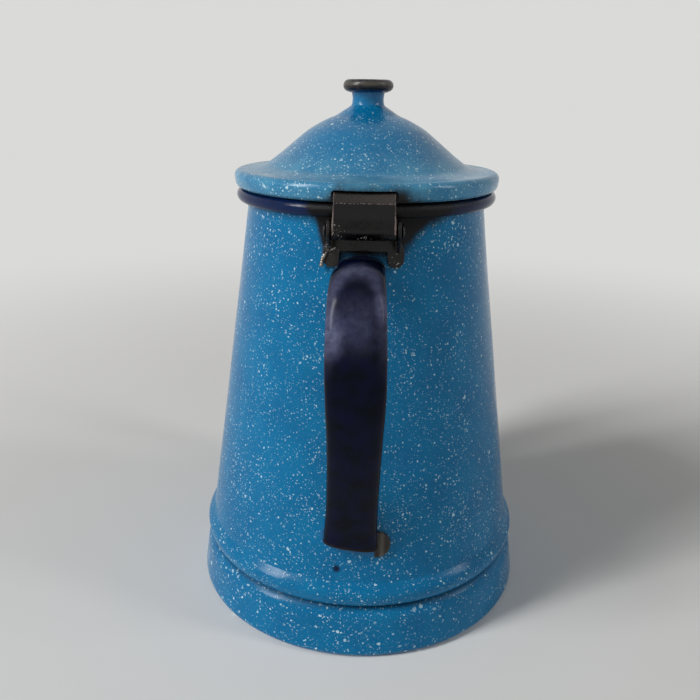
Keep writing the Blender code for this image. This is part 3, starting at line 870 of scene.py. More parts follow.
@dataclass(frozen=True)
class ChippedPlate:
    """The foot plate's finish: fired with the body's blue, which has gone from one lobe.

    What it gives the eye: brown rust with a painted glint, a pale vertical band, on the bare lobe,
    a dark broken line where the glass ends, and blue over the rest. The attribute "bare" marks
    where the glass has gone, and "light" marks the painted glint.
    """

    name: str = "vitreous enamel of the foot plate, chipped to rust"
    blue: str = "#04659A"
    line: str = "#101A24"
    rust: str = "#1E1814"
    tan: str = "#302A24"
    # The colour of the painted glint.
    pale: str = "#5C584F"
    specular: float = 0.38

    def build(self) -> Finish:
        """The material."""
        finish, tree, place = start_finish(self.name)
        patch = {"Vector": place, "Scale": 0.5, "Detail": 5.0, "Roughness": 0.6}
        patch = add(tree, "ShaderNodeTexNoise", patch)
        tone = add(tree, "ShaderNodeMapRange", (patch, 0.40, 0.62))
        colour = add(tree, "ShaderNodeMix", {0: tone, MIX_A: self.rust, MIX_B: self.tan}, **RGBA)
        # Painted highlight: the pale colour mixed in along the painted glint.
        pale = add(tree, "ShaderNodeAttribute", out="Fac", attribute_name="light")
        colour = add(tree, "ShaderNodeMix", {0: pale, MIX_A: colour, MIX_B: self.pale}, **RGBA)
        bare = add(tree, "ShaderNodeAttribute", out="Fac", attribute_name="bare")
        bare = add(tree, "ShaderNodeMath", (patch, 0.7, bare), operation="MULTIPLY_ADD")
        edge = add(tree, "ShaderNodeMapRange", (bare, 0.62, 0.72), **SMOOTH)
        glass = add(tree, "ShaderNodeMix", {0: edge, MIX_A: self.blue, MIX_B: self.line}, **RGBA)
        gone = add(tree, "ShaderNodeMapRange", (bare, 0.72, 0.84), **SMOOTH)
        colour = add(tree, "ShaderNodeMix", {0: gone, MIX_A: glass, MIX_B: colour}, **RGBA)
        rough = add(tree, "ShaderNodeMapRange", (gone, 0.0, 1.0, 0.18, 0.48))
        relief = add(tree, "ShaderNodeMath", (gone, patch), operation="MULTIPLY")
        relief = add(tree, "ShaderNodeMath", (relief, 0.12), operation="MULTIPLY")
        end_finish(tree, colour, rough, relief, specular=self.specular)
        return finish


@dataclass(frozen=True)
class WornKnobEnamel:
    """The knob's enamel: deep blue in the neck, then black, worn to grey-brown iron on its rim."""

    name: str = "vitreous enamel of the knob, worn through"
    neck: str = "#0F3F6E"
    dark: str = "#0E1020"
    iron: str = "#4A463F"
    brown: str = "#2B211C"
    blue_below: float = 203.4
    dark_above: float = 204.6
    specular: float = 0.38

    def build(self) -> Finish:
        """The material."""
        finish, tree, place = start_finish(self.name)
        height = add(tree, "ShaderNodeSeparateXYZ", (place,), 2)
        rise = add(tree, "ShaderNodeMapRange", (height, self.blue_below, self.dark_above), **SMOOTH)
        colour = add(tree, "ShaderNodeMix", {0: rise, MIX_A: self.neck, MIX_B: self.dark}, **RGBA)
        patch = {"Vector": place, "Scale": 0.45, "Detail": 5.0, "Roughness": 0.65}
        patch = add(tree, "ShaderNodeTexNoise", patch)
        brown = add(tree, "ShaderNodeMapRange", (patch, 0.42, 0.60, 0.0, 0.85))
        brown = add(tree, "ShaderNodeMath", (brown, rise), operation="MULTIPLY")
        colour = add(tree, "ShaderNodeMix", {0: brown, MIX_A: colour, MIX_B: self.brown}, **RGBA)
        wear = add(tree, "ShaderNodeAttribute", out="Fac", attribute_name="wear")
        wear = add(tree, "ShaderNodeMath", (wear, patch), operation="ADD")
        wear = add(tree, "ShaderNodeMapRange", (wear, 1.0, 1.45), **SMOOTH)
        colour = add(tree, "ShaderNodeMix", {0: wear, MIX_A: colour, MIX_B: self.iron}, **RGBA)
        rough = add(tree, "ShaderNodeMapRange", (patch, 0.35, 0.65, 0.20, 0.42))
        relief = add(tree, "ShaderNodeMath", (patch, 0.10), operation="MULTIPLY")
        end_finish(tree, colour, rough, relief, specular=self.specular)
        return finish


@dataclass(frozen=True)
class DrawnWire:
    """Drawn steel wire, bright but dulled: fine lines round the ring, from the drawing die."""

    name: str = "drawn steel wire"
    steel: str = "#8E8A84"
    dull: str = "#5C5650"

    def build(self) -> Finish:
        """The material."""
        finish, tree, place = start_finish(self.name)
        patch = add(tree, "ShaderNodeTexNoise", {"Vector": place, "Scale": 0.6, "Detail": 4.0})
        colour = add(tree, "ShaderNodeMix", {0: patch, MIX_A: self.steel, MIX_B: self.dull}, **RGBA)
        rough = add(tree, "ShaderNodeMapRange", (patch, 0.0, 1.0, 0.28, 0.5))
        lines = add(tree, "ShaderNodeMapping", {"Vector": place, "Scale": (1.0, 1.0, 18.0)})
        relief = add(tree, "ShaderNodeTexNoise", {"Vector": lines, "Scale": 1.0, "Detail": 1.0})
        relief = add(tree, "ShaderNodeMath", (relief, 0.01), operation="MULTIPLY")
        end_finish(tree, colour, rough, relief, metallic=1.0)
        return finish


class Finishes:
    """The pot's finishes, each built once."""

    def __init__(self) -> None:
        """Builds all of them."""
        enamel = "vitreous enamel, speckled blue, of the "
        self.body = SpeckledEnamel(
            enamel + "body",
            trim=True,
            groove=(20.9, 1.6),
            pit=(-7.4, -63.9, 35.8, 2.0),
            stain=SootStain(),
        ).build()
        self.base = SpeckledEnamel(
            enamel + "base",
            flecks=(
                Flecks(2.6, 0.95, 0.22),
                Flecks(1.4, 0.58, 0.48),
                Flecks(0.8, 0.30, 0.50),
                Flecks(0.45, 0.16, 0.40, 0.10),
            ),
            groove=(20.9, 2.6),
            seed=40.0,
        ).build()
        self.lid = SpeckledEnamel(
            enamel + "lid",
            milk_and_sheen="#5AA3C2",
            flecks=(
                Flecks(2.2, 0.70, 0.24),
                Flecks(1.15, 0.44, 0.70),
                Flecks(0.75, 0.28, 0.66),
                Flecks(0.45, 0.16, 0.40, 0.10),
            ),
            specular=0.34,
            seed=90.0,
            # A painted sheen on the lower dome.
            sheen_band=(176.6, 186.0),
            plain=(194.0, 201.0),
            stain=SootStain(-21.0, 32.0, 30.0, 22.0, 7.5),
        ).build()
        self.spout = SpeckledEnamel(enamel + "spout", trim=True, seed=140.0).build()
        self.cobalt = CobaltEnamel().build()
        self.knob = WornKnobEnamel().build()
        self.scorched = ScaledSteel(
            "sheet steel, scorched", "#030306", "#0A0807", "#8A7A76", "#3A3430",
            crust=0.07, shine=(0.18, 0.38), metallic=0.0, specular=0.30,
        ).build()
        self.plate = ChippedPlate().build()
        self.crust = ScaledSteel(
            "crust of soot and scale", "#2C2A29", "#B4AFA6", "#C8C6C2", "#B4B2AE", 1.0, 0.08,
            shine=(0.15, 0.40), metallic=0.6,
        ).build()
        self.braze = ScaledSteel(
            "braze, dulled", "#4A4744", "#C2BEB6", "#DAD8D2", "#C2BEB6", 1.4, 0.05,
            shine=(0.16, 0.36), metallic=0.75,
        ).build()
        self.wire = DrawnWire().build()


class NodeShape:
    """A geometry nodes tree with named inputs, run once on a piece and turned into a mesh."""

    def __init__(self, name: str, sizes: dict[str, float | int]) -> None:
        """Starts the tree.

        Args:
            name: The tree's name.
            sizes: Its named inputs and their values. A whole number makes a whole number input.
        """
        self.tree = bpy.data.node_groups.new(name, "GeometryNodeTree")
        ports = self.tree.interface
        ports.new_socket("Geometry", in_out="INPUT", socket_type="NodeSocketGeometry")
        self.values = {}
        for label, value in sizes.items():
            kind = "NodeSocketInt" if isinstance(value, int) else "NodeSocketFloat"
            port = ports.new_socket(label, in_out="INPUT", socket_type=kind)
            self.values[port.identifier] = value
        port = ports.new_socket("Finish", in_out="INPUT", socket_type="NodeSocketMaterial")
        self.finish_port = port.identifier
        ports.new_socket("Geometry", in_out="OUTPUT", socket_type="NodeSocketGeometry")
        self.inputs = self.tree.nodes.new("NodeGroupInput").outputs

    def close(self, geometry: Socket) -> None:
        """Ends the tree in real geometry with its material."""
        real = add(self.tree, "GeometryNodeRealizeInstances", (geometry,))
        dressed = {"Geometry": real, "Material": self.inputs["Finish"]}
        dressed = add(self.tree, "GeometryNodeSetMaterial", dressed)
        add(self.tree, "NodeGroupOutput", (dressed,))

    def run(self, host: Piece, finish: Finish) -> Piece:
        """Turns a host piece into what the tree makes of it.

        Args:
            host: The piece whose mesh the tree starts from, which becomes the result.
            finish: The material that the tree sets.

        Returns:
            The host, with the result as its plain mesh.
        """
        maker = host.modifiers.new(self.tree.name, "NODES")
        maker.node_group = self.tree
        for identifier, value in self.values.items():
            maker[identifier] = value
        maker[self.finish_port] = finish
        settle(host)
        host.data.shade_smooth()
        return host


def perforation(pitch: float, hole: float, height: float, reach: float) -> NodeShape:
    """A rounded hexagon of staggered rods that bore the strainer's holes.

    Args:
        pitch: The distance between holes.
        hole: A hole's radius.
        height: The height of the middle hole.
        reach: How far out from the axis the rods are centred, and how long they are.

    Returns:
        The tree.
    """
    shape = NodeShape(
        "strainer_rods",
        {"Pitch": pitch, "Hole radius": hole, "Middle height": height, "Reach": reach},
    )
    tree, ports = shape.tree, shape.inputs
    row = add(tree, "ShaderNodeMath", (ports["Pitch"], math.sqrt(3) / 2), operation="MULTIPLY")
    wide = add(tree, "ShaderNodeMath", (ports["Pitch"], 6.0), operation="MULTIPLY")
    tall = add(tree, "ShaderNodeMath", (row, 4.0), operation="MULTIPLY")
    grid = {"Size X": wide, "Size Y": tall, "Vertices X": 7, "Vertices Y": 5}
    grid = add(tree, "GeometryNodeMeshGrid", grid)
    spot = add(tree, "GeometryNodeInputPosition")
    across = add(tree, "ShaderNodeSeparateXYZ", (spot,), 1)
    number = add(tree, "ShaderNodeMath", (across, row), operation="DIVIDE")
    number = add(tree, "ShaderNodeMath", (number,), operation="ROUND")
    odd = add(tree, "ShaderNodeMath", (number, 2.0), operation="FLOORED_MODULO")
    half = add(tree, "ShaderNodeMath", (ports["Pitch"], 0.5), operation="MULTIPLY")
    shift = add(tree, "ShaderNodeMath", (odd, half), operation="MULTIPLY")
    offset = add(tree, "ShaderNodeCombineXYZ", (shift,))
    staggered = add(tree, "GeometryNodeSetPosition", {"Geometry": grid, "Offset": offset})
    spot = add(tree, "GeometryNodeInputPosition")
    far = add(tree, "ShaderNodeVectorMath", (spot,), "Value", operation="LENGTH")
    limit = add(tree, "ShaderNodeMath", (ports["Pitch"], 2.1), operation="MULTIPLY")
    out = add(tree, "ShaderNodeMath", (far, limit), operation="GREATER_THAN")
    kept = add(tree, "GeometryNodeDeleteGeometry", {"Geometry": staggered, "Selection": out})
    rod = {"Vertices": 24, "Radius": ports["Hole radius"], "Depth": ports["Reach"]}
    rod = add(tree, "GeometryNodeMeshCylinder", rod)
    rods = add(tree, "GeometryNodeInstanceOnPoints", {"Points": kept, "Instance": rod})
    middle = add(tree, "ShaderNodeCombineXYZ", {1: ports["Reach"], 2: ports["Middle height"]})
    upright = {"Geometry": rods, "Translation": middle, "Rotation": (math.pi / 2, 0.0, 0.0)}
    shape.close(add(tree, "GeometryNodeTransform", upright))
    return shape


def grains(name: str, density: float, smallest: float, largest: float, seed: int) -> NodeShape:
    """Small uneven grains on a surface, as thick as its attribute "crust" says.

    Args:
        name: The tree's name.
        density: Grains per square metre where the attribute is 1.
        smallest: The smallest grain's radius.
        largest: The largest one's.
        seed: The fixed seed.

    Returns:
        The tree.
    """
    sizes = {"Density": density, "Smallest": smallest, "Largest": largest, "Seed": seed}
    shape = NodeShape(name, sizes)
    tree, ports = shape.tree, shape.inputs
    thick = add(tree, "GeometryNodeInputNamedAttribute", {"Name": "crust"}, data_type="FLOAT")
    thick = add(tree, "ShaderNodeMath", (thick, ports["Density"]), operation="MULTIPLY")
    spots = {"Mesh": ports["Geometry"], "Density": thick, "Seed": ports["Seed"]}
    spots = add(tree, "GeometryNodeDistributePointsOnFaces", spots)
    grain = add(tree, "GeometryNodeMeshIcoSphere", {"Radius": 1.0, "Subdivisions": 2})
    turn = {0: (0.0,) * 3, 1: (math.tau,) * 3, "Seed": ports["Seed"]}
    turn = add(tree, "FunctionNodeRandomValue", turn, data_type="FLOAT_VECTOR")
    width = {2: ports["Smallest"], 3: ports["Largest"], "Seed": ports["Seed"]}
    width = add(tree, "FunctionNodeRandomValue", width, 1)
    long = {0: (0.7, 0.7, 0.5), 1: (1.4, 1.1, 0.9), "Seed": ports["Seed"]}
    long = add(tree, "FunctionNodeRandomValue", long, data_type="FLOAT_VECTOR")
    width = add(tree, "ShaderNodeVectorMath", {0: long, "Scale": width}, operation="SCALE")
    put = {"Points": spots, "Instance": grain, "Rotation": turn, "Scale": width}
    put = add(tree, "GeometryNodeInstanceOnPoints", put)
    shape.close(put)
    return shape


def beads(name: str, spacing: float, smallest: float, largest: float, seed: int) -> NodeShape:
    """Beads of melted metal or glass along a line.

    Args:
        name: The tree's name.
        spacing: How far apart they are.
        smallest: The smallest bead's radius.
        largest: The largest one's.
        seed: The fixed seed.

    Returns:
        The tree.
    """
    sizes = {"Spacing": spacing, "Smallest": smallest, "Largest": largest, "Seed": seed}
    shape = NodeShape(name, sizes)
    tree, ports = shape.tree, shape.inputs
    path = add(tree, "GeometryNodeMeshToCurve", {"Mesh": ports["Geometry"]})
    path = {"Curve": path, "Length": ports["Spacing"]}
    path = add(tree, "GeometryNodeResampleCurve", path, mode="LENGTH")
    bead = add(tree, "GeometryNodeMeshIcoSphere", {"Radius": 1.0, "Subdivisions": 3})
    width = {2: ports["Smallest"], 3: ports["Largest"], "Seed": ports["Seed"]}
    width = add(tree, "FunctionNodeRandomValue", width, 1)
    put = {"Points": path, "Instance": bead, "Scale": width}
    shape.close(add(tree, "GeometryNodeInstanceOnPoints", put))
    return shape


@dataclass
class PotBody:
    """The body: a rolled cone with a shoulder, a rim curled over a wire, and the base pan."""

    sizes: PotSizes
    steps: int = 288
    recess: float = 0.0005
    recess_radius: float = 0.0560
    corner: float = 0.0028
    band_taper: float = 0.0016
    band_edge: float = 0.0145
    cone_step: float = 0.0026
    dent: float = 0.00022
    dent_size: float = 0.034
    calm_height: float = 0.09
    calm_fade: Fade = (0.05, 0.075)
    pit: tuple[float, float, float] = (-0.0074, -0.0639, 0.0358)
    pit_radius: float = 0.0017
    pit_depth: float = 0.0006
    hole_radius: float = 0.0016
    hole_pitch: float = 0.0062
    hole_height: float = 0.0570
    trim_height: float = 0.1630
    shoulder: Pairs = ((0.06, 0.18), (0.21, 0.37), (0.46, 0.58), (0.73, 0.76), (0.91, 0.89))
    band_top: Pairs = ((0.08, 0.30), (0.25, 0.57), (0.50, 0.79), (0.75, 0.94))
    neck: Pairs = ((0.0, 0.0), (0.0, 0.0018), (0.00006, 0.0026), (0.0002, 0.0031))
    hem: Pairs = ((1.0, 0.0007), (0.9, 0.0), (0.4, -0.0002))
    recess_edge: Pairs = ((0.0, 1.0), (0.0015, 0.6), (0.0030, 0.1), (0.0045, 0.0))
    seam_fill: Pairs = ((0.0006, 0.0002), (0.0001, 0.0008), (0.0, 0.0016))
    skin: Skin = Skin(depth=0.00010, size=0.020, seed=7.0)

    def angles(self) -> list[float]:
        """Angles round the axis, closer together at the pit."""
        middle = math.atan2(self.pit[1], self.pit[0]) % math.tau
        close = [middle + math.radians(step * 0.25) for step in range(-10, 11)]
        return sorted([*even_turns(self.steps), *close])

    def wall_outline(self) -> Line:
        """The wall's closed outline: up its outside, round the curl and down its inside."""
        sizes = self.sizes
        top_r, top_z = sizes.curl_middle
        tuck = sizes.bead_radius - sizes.tuck_radius
        rise = sizes.bead_top - sizes.band_height
        bead = [
            (sizes.tuck_radius + tuck * out, sizes.bead_top - rise * down)
            for down, out in arc((0, 0), 1, 0, 90, 6)
        ]
        heights = [sizes.shoulder_top + self.cone_step * step for step in range(1, 50)]
        cone = [(sizes.wall(z), z) for z in heights]
        top = (sizes.shoulder_radius, sizes.shoulder_top)
        low = flat_flow([*bead, *between(bead[-1], top, self.shoulder), top, cone[0]], 4)
        neck = [(sizes.mouth_radius + out, sizes.cone_top + up) for out, up in self.neck]
        curl = arc(sizes.curl_middle, sizes.curl_radius, -114, 180, 42)
        inside = [(top_r - sizes.curl_radius, top_z - 0.003)]
        for radius, height in reversed([*low[8::4], *cone[1::3]]):
            inside.append((radius - sizes.sheet, height))
        hem = [
            (sizes.tuck_radius - sizes.sheet * depth, sizes.band_height + up)
            for depth, up in self.hem
        ]
        return [*low, *cone[1:], *neck, *curl, *inside, *hem]

    def press(self, spot: Vector, normal: Vector) -> Vector:
        """Presses the wall in a little here and there, and deeply at the pit."""
        radius = math.hypot(spot.x, spot.y)
        if radius < self.sizes.sheet:
            return spot
        share = 0.5 + 0.5 * noise.noise(spot / self.dent_size)
        calm = near(abs(spot.z - self.calm_height), *self.calm_fade)
        hole = near((spot - Vector(self.pit)).length, self.pit_radius * 0.2, self.pit_radius)
        inward = self.dent * share * calm
        inward += self.pit_depth * hole
        factor = (radius - inward) / radius
        return Vector((spot.x * factor, spot.y * factor, spot.z))

    def build_wall(self, finishes: Finishes) -> Piece:
        """The wall with its rim and its strainer holes."""
        wall = make_object("body_wall", turned(self.wall_outline(), self.angles()))
        reshape(wall, self.press)
        host = make_object("strainer_rods", bmesh.new())
        reach = self.sizes.base_radius
        rods = perforation(self.hole_pitch, self.hole_radius, self.hole_height, reach)
        cut(wall, rods.run(host, finishes.body))
        paint(wall, "trim", lambda spot: 0.5 + (spot.z - self.trim_height) / (10 * MM))
        return hand_over(wall, Body.POT, [finishes.body], ["body_shell"])

    def base_outline(self) -> Line:
        """The base pan's closed outline, from the axis outwards and back inside.

        Its top edge is drowned in the glaze that fills the seam under the bead.
        """
        sizes = self.sizes
        lap = sizes.tuck_radius - sizes.sheet - sizes.gap
        edge = (sizes.base_radius - self.band_taper, self.band_edge)
        outer = [
            (0, self.recess),
            *[(self.recess_radius + out, self.recess * up) for out, up in self.recess_edge],
            *arc((sizes.base_radius - self.corner, self.corner), self.corner, -90, 0, 12),
        ]
        for step in range(1, 6):
            share = step / 6
            height = self.corner + (self.band_edge - self.corner) * share
            outer.append((sizes.base_radius - self.band_taper * share, height))
        seam = [
            outer[-1],
            edge,
            *between(edge, (lap, sizes.band_height - sizes.gap), self.band_top),
            *[(lap + out, sizes.band_height + up) for out, up in self.seam_fill],
        ]
        outer += [*flat_flow(seam, 5)[1:], (lap, sizes.bead_top - sizes.gap)]
        inner = [
            (lap - sizes.sheet, sizes.bead_top - sizes.gap),
            (lap - sizes.sheet, sizes.band_height - sizes.sheet),
            (lap + sizes.sheet, sizes.band_height - sizes.sheet * 2.4),
            (edge[0] - sizes.sheet, edge[1]),
            (sizes.base_radius - sizes.sheet, self.corner),
        ]
        bend = (sizes.base_radius - self.corner, self.corner)
        inner += arc(bend, self.corner - sizes.sheet, 0, -90, 8)[1:]
        return [*outer, *inner, (0, self.recess + sizes.sheet)]

    def build_base(self, finishes: Finishes) -> Piece:
        """The base pan."""
        base = make_object("base_band", turned(self.base_outline(), self.angles(), closed=False))
        reshape(base, self.skin.sink)
        return hand_over(base, Body.POT, [finishes.base], ["base_pan"])

    def build_wire(self, finishes: Finishes) -> Piece:
        """The wire inside the rim's curl, a finer ring than the solid's."""
        radius = self.sizes.curl_radius - self.sizes.sheet - self.sizes.gap
        ring = arc(self.sizes.curl_middle, radius, 0, 360, 24)[:-1]
        wire = make_object("rim_core_wire", turned(ring, even_turns(192)))
        return hand_over(wire, Body.POT, [finishes.wire], ["rim_wire"])

    def build(self, finishes: Finishes) -> None:
        """Builds and dresses all three."""
        self.build_wall(finishes)
        self.build_base(finishes)
        self.build_wire(finishes)


@dataclass
class Spout:
    """The gooseneck: two pressed halves whose seam shows as a low ridge, on a flared root.

    Each row of shares is a place along it: how far out and up its upper line is, the same for
    its lower line, and its width.
    """

    sizes: PotSizes
    low: float = 0.0385
    height: float = 0.1225
    reach: float = 0.0425
    root_width: float = 0.0350
    sheet: float = 0.0012
    around: int = 64
    between: int = 8
    seam: float = 0.00030
    lip: float = 0.00036
    fillet: float = 0.0016
    sunk: float = 0.0004
    trim: float = 0.0016
    shares: Rows = (
        (-0.14, 0.320, -0.05, 0.000, 1.00),
        (0.00, 0.350, 0.18, 0.030, 0.93),
        (0.06, 0.420, 0.38, 0.130, 0.82),
        (0.10, 0.520, 0.52, 0.300, 0.70),
        (0.17, 0.660, 0.60, 0.490, 0.59),
        (0.30, 0.790, 0.69, 0.680, 0.50),
        (0.48, 0.900, 0.82, 0.850, 0.44),
        (0.68, 1.000, 1.00, 0.970, 0.43),
    )
    skirt_spread: float = 1.35
    skirt: Rows = ((1.0, 0.0001), (0.45, 0.0004), (0.12, 0.0011))
    lip_roll: Rows = (
        (0.6, 0.2), (1.0, 0.8), (0.9, 1.5), (0.2, 2.0), (-0.9, 2.0), (-1.6, 1.4)
    )

    def stations(self) -> list[Vector]:
        """Places up the spout: (upper y, upper z, lower y, lower z, half width)."""
        start = self.sizes.wall(self.low)
        rows = []
        for shares in self.shares:
            ends = [start + out * self.reach for out in shares[:4:2]]
            levels = [self.low + up * self.height for up in shares[1:4:2]]
            half = self.root_width / 2 * shares[4]
            rows.append((ends[0], levels[0], ends[1], levels[1], half))
        return flow(rows, self.between)

    def ring(self, station: Vector, shrink: float) -> list[Vector]:
        """One oval ring.

        Args:
            station: The place that it stands at.
            shrink: How much smaller than the outside it is.

        Returns:
            Its points.
        """
        upper = Vector((0, station[0], station[1]))
        lower = Vector((0, station[2], station[3]))
        middle = (upper + lower) / 2
        rise = (upper - lower) / 2
        points = []
        for turn in even_turns(self.around):
            seam = self.seam * near(abs(math.cos(turn)), 0.03, 0.13) if shrink <= 0 else 0.0
            up = rise.normalized() * (rise.length - shrink + seam) * math.sin(turn)
            side = Vector((station[4] - shrink, 0, 0)) * math.cos(turn)
            points.append(middle + side + up)
        return points

    def to_wall(self, spot: Vector, out: float) -> Vector:
        """The point on the wall, level with a point and as far to the side."""
        height = max(spot.z, self.sizes.shoulder_top)
        radius = self.sizes.wall(height) + out
        return Vector((spot.x, math.sqrt(radius**2 - spot.x**2), spot.z))

    def skirt_rings(self, first: Sequence[Vector]) -> list[list[Vector]]:
        """Rings that lead from the wall up to the spout's first ring."""
        middle = sum(first, Vector()) / len(first)
        rings = []
        for spread, out in ((self.skirt_spread, -self.sunk), *self.skirt):
            ring = []
            for point in first:
                away = (point - middle).normalized() * self.fillet * spread
                ring.append(self.to_wall(point + Vector((away.x, 0, away.z)), out))
            rings.append(ring)
        return rings

    def lip_rings(
        self, tip: Sequence[Vector], hollow: Sequence[Vector], along: Vector
    ) -> list[list[Vector]]:
        """Rings that roll the tip's edge outwards and back in.

        Args:
            tip: The last ring of the outside.
            hollow: The last ring of the inside.
            along: The way that the spout points there.

        Returns:
            The rings.
        """
        rings = []
        for out, ahead in self.lip_roll:
            ring = []
            for outer, inner in zip(tip, hollow):
                side = (outer - inner).normalized()
                ring.append(outer + side * self.lip * out + along * self.lip * ahead)
            rings.append(ring)
        return rings

    def build(self, finishes: Finishes) -> None:
        """Builds and dresses the spout."""
        outside, inside = [], []
        for station in self.stations():
            outer = self.ring(station, 0.0)
            clear = min(p.y - self.to_wall(p, 0.0).y for p in outer)
            if clear > self.fillet * 0.6:
                outside.append(outer)
                inside.append(self.ring(station, self.sheet))
        skirt = self.skirt_rings(outside[0])
        root = [self.to_wall(point, -self.sunk) for point in inside[0]]
        outside, inside = outside[:-1], inside[:-1]
        tip, hollow = outside[-1], inside[-1]
        along = (sum(tip, Vector()) - sum(outside[-2], Vector())).normalized()
        lip = self.lip_rings(tip, hollow, along)
        rings = [*skirt, *outside, *lip, *reversed(inside), root]
        shape = bmesh.new()
        rows = [[shape.verts.new(point) for point in ring] for ring in rings]
        for row, following in zip(rows, [*rows[1:], rows[0]]):
            bridge(shape, row, following)
        bmesh.ops.recalc_face_normals(shape, faces=shape.faces)
        spout = make_object("gooseneck_spout", shape)
        rim = sum(tip, Vector()) / len(tip) - along * self.trim
        paint(spout, "trim", lambda spot: 0.5 + (spot - rim).dot(along) / (10 * MM))
        hand_over(spout, Body.POT, [finishes.spout], ["spout"])


@dataclass
class Handle:
    """The handle: a hollow crowned strap of thin steel, open along its back, and its foot plate.

    Each row of shares is a place along the strap, from its root: how far out and up it is, its
    width, its depth, and how far it leans to the left.
    """

    sizes: PotSizes
    width: float = 0.0190
    depth: float = 0.0070
    sheet: float = 0.0012
    slot: float = 0.0040
    edge_round: float = 0.0016
    reach: float = 0.0334
    root: float = 0.1476
    foot: float = 0.0468
    lean: float = 0.0025
    end_tilt: float = math.tan(math.radians(10))
    crown_start: float = -0.02
    crown_fullness: float = 0.85
    between: int = 10
    plate_width: float = 0.0265
    plate_height: float = 0.0098
    plate_rise: float = 0.0012
    plate_sheet: float = 0.0012
    grain: float = 0.00024
    edge_wear: tuple[float, float] = (0.62, 0.54)
    edge_fade: float = 0.07
    worn_middle: float = 0.35
    worn_fade: Fade = (0.15, 0.40)
    least_wear: float = 0.6
    foot_wear: float = 0.75
    foot_fade: Fade = (0.004, 0.024)
    # Where the painted reflection runs round the top bend's upper rim, and how strong it is.
    rim_start: float = 0.41
    rim_length: float = 0.165
    rim_place: float = 0.94
    rim_reach: float = 0.36
    rim_sheen: float = 0.55
    rim_fade: Fade = (0.38, 0.60)
    plate_turn: float = math.radians(-10)
    plate_sunk: float = 0.0003
    bare_from: float = 0.0072
    bare_fade: Fade = (-0.0006, 0.0016)
    # A painted glint on the bare lobe: its middle, where it is full and where it ends.
    painted_glint: tuple[float, float, float] = (0.0092, 0.0002, 0.0013)
    painted_glint_strength: float = 0.8
    strap_skin: Skin = Skin(depth=0.00014, size=0.011, seed=3.0)
    plate_skin: Skin = Skin(depth=0.00022, size=0.0022, seed=11.0)
    # Painted highlights: a glint on each side of the top bend, and a hazy cloud between them.
    highlight_patches: tuple[Patch, ...] = (
        Patch(-0.78, 0.455, 0.0, 1.0, wide=1 / 0.60, tall=1 / 0.085),
        Patch(0.82, 0.375, 0.0, 1.0, wide=1 / 0.36, tall=1 / 0.062),
        Patch(0.0, 0.42, 0.0, 1.1, 0.38, wide=0.8, tall=10.0),
    )
    shares: Rows = (
        (-0.040, 1.000, 0.76, 0.90, 0.00),
        (0.240, 1.014, 0.81, 0.95, 0.20),
        (0.500, 1.021, 0.87, 1.00, 0.40),
        (0.715, 1.003, 0.93, 1.00, 0.54),
        (0.890, 0.947, 0.98, 1.00, 0.56),
        (0.985, 0.858, 1.01, 1.00, 0.52),
        (0.990, 0.765, 1.03, 1.00, 0.50),
        (0.895, 0.640, 1.02, 1.00, 0.46),
        (0.655, 0.453, 0.97, 0.96, 0.52),
        (0.350, 0.236, 0.97, 0.88, 0.72),
        (0.155, 0.089, 1.01, 0.80, 0.90),
        (0.050, 0.000, 1.05, 0.76, 1.00),
    )

    def section(self, width: float, depth: float) -> Line:
        """The closed outline of the bent strap.

        Args:
            width: Its width.
            depth: Its depth, from its back to its crown.

        Returns:
            (across, out) points: along the outside, then back along the inside.
        """
        half, back = width / 2, -depth / 2
        start = depth * self.crown_start
        corner = (half - self.edge_round, back + self.edge_round)
        side = [
            (self.slot / 2, back + self.sheet * 0.35),
            (self.slot / 2 + self.sheet * 0.25, back),
            *arc(corner, self.edge_round, -90, 0, 6),
        ]
        for turn in range(6, 90, 6):
            across = half * math.cos(math.radians(turn)) ** self.crown_fullness
            out = math.sin(math.radians(turn)) ** self.crown_fullness
            side.append((across, start + (depth / 2 - start) * out))
        mirrored = [(-across, out) for across, out in reversed(side)]
        line = [*side, (0, depth / 2), *mirrored]
        return sheet_outline(line, self.sheet)

    def rings(self) -> list[list[Vector]]:
        """The section at each place along the handle."""
        rows = []
        for out, up, width, depth, to_left in self.shares:
            height = self.foot + (self.root - self.foot) * up
            y = -(self.sizes.wall(height) + out * self.reach)
            x = -self.lean * to_left
            rows.append((y, height, self.width * width, self.depth * depth, x))
        stations = flow(rows, self.between)
        rings = []
        for index, station in enumerate(stations):
            share = index / (len(stations) - 1)
            before = stations[max(index - 1, 0)]
            after = stations[min(index + 1, len(stations) - 1)]
            along = Vector((0, after[0] - before[0], after[1] - before[1])).normalized()
            outward = Vector((0, along.z, -along.y))
            middle = Vector((station[4], station[0], station[1]))
            tilt = self.end_tilt * near(1 - share, 0.0, 0.10)
            ring = []
            for across, out in self.section(station[2], station[3]):
                spot = middle + Vector((across, 0, 0)) + outward * out + along * across * tilt
                ring.append(self.off_wall(spot))
            rings.append(ring)
        return rings

    def off_wall(self, spot: Vector) -> Vector:
        """Keeps a point of the handle out of the wall, and on the plate at its foot."""
        floor = self.sizes.wall(spot.z) - self.sizes.sheet / 2
        if spot.z < self.foot + self.plate_height:
            floor += self.plate_sheet + self.sizes.sheet * 0.7
        return pushed_out(spot, floor)

    def worn(self, share: float, across: float) -> float:
        """How worn an edge is, at a share from root to foot and from the middle to an edge."""
        side = near(1.0 - abs(across), 0.0, self.edge_fade) * self.edge_wear[across <= 0]
        band = near(abs(share - self.worn_middle), *self.worn_fade)
        side *= self.least_wear + (1.0 - self.least_wear) * band
        return max(side, near(1.0 - share, *self.foot_fade) * self.foot_wear)

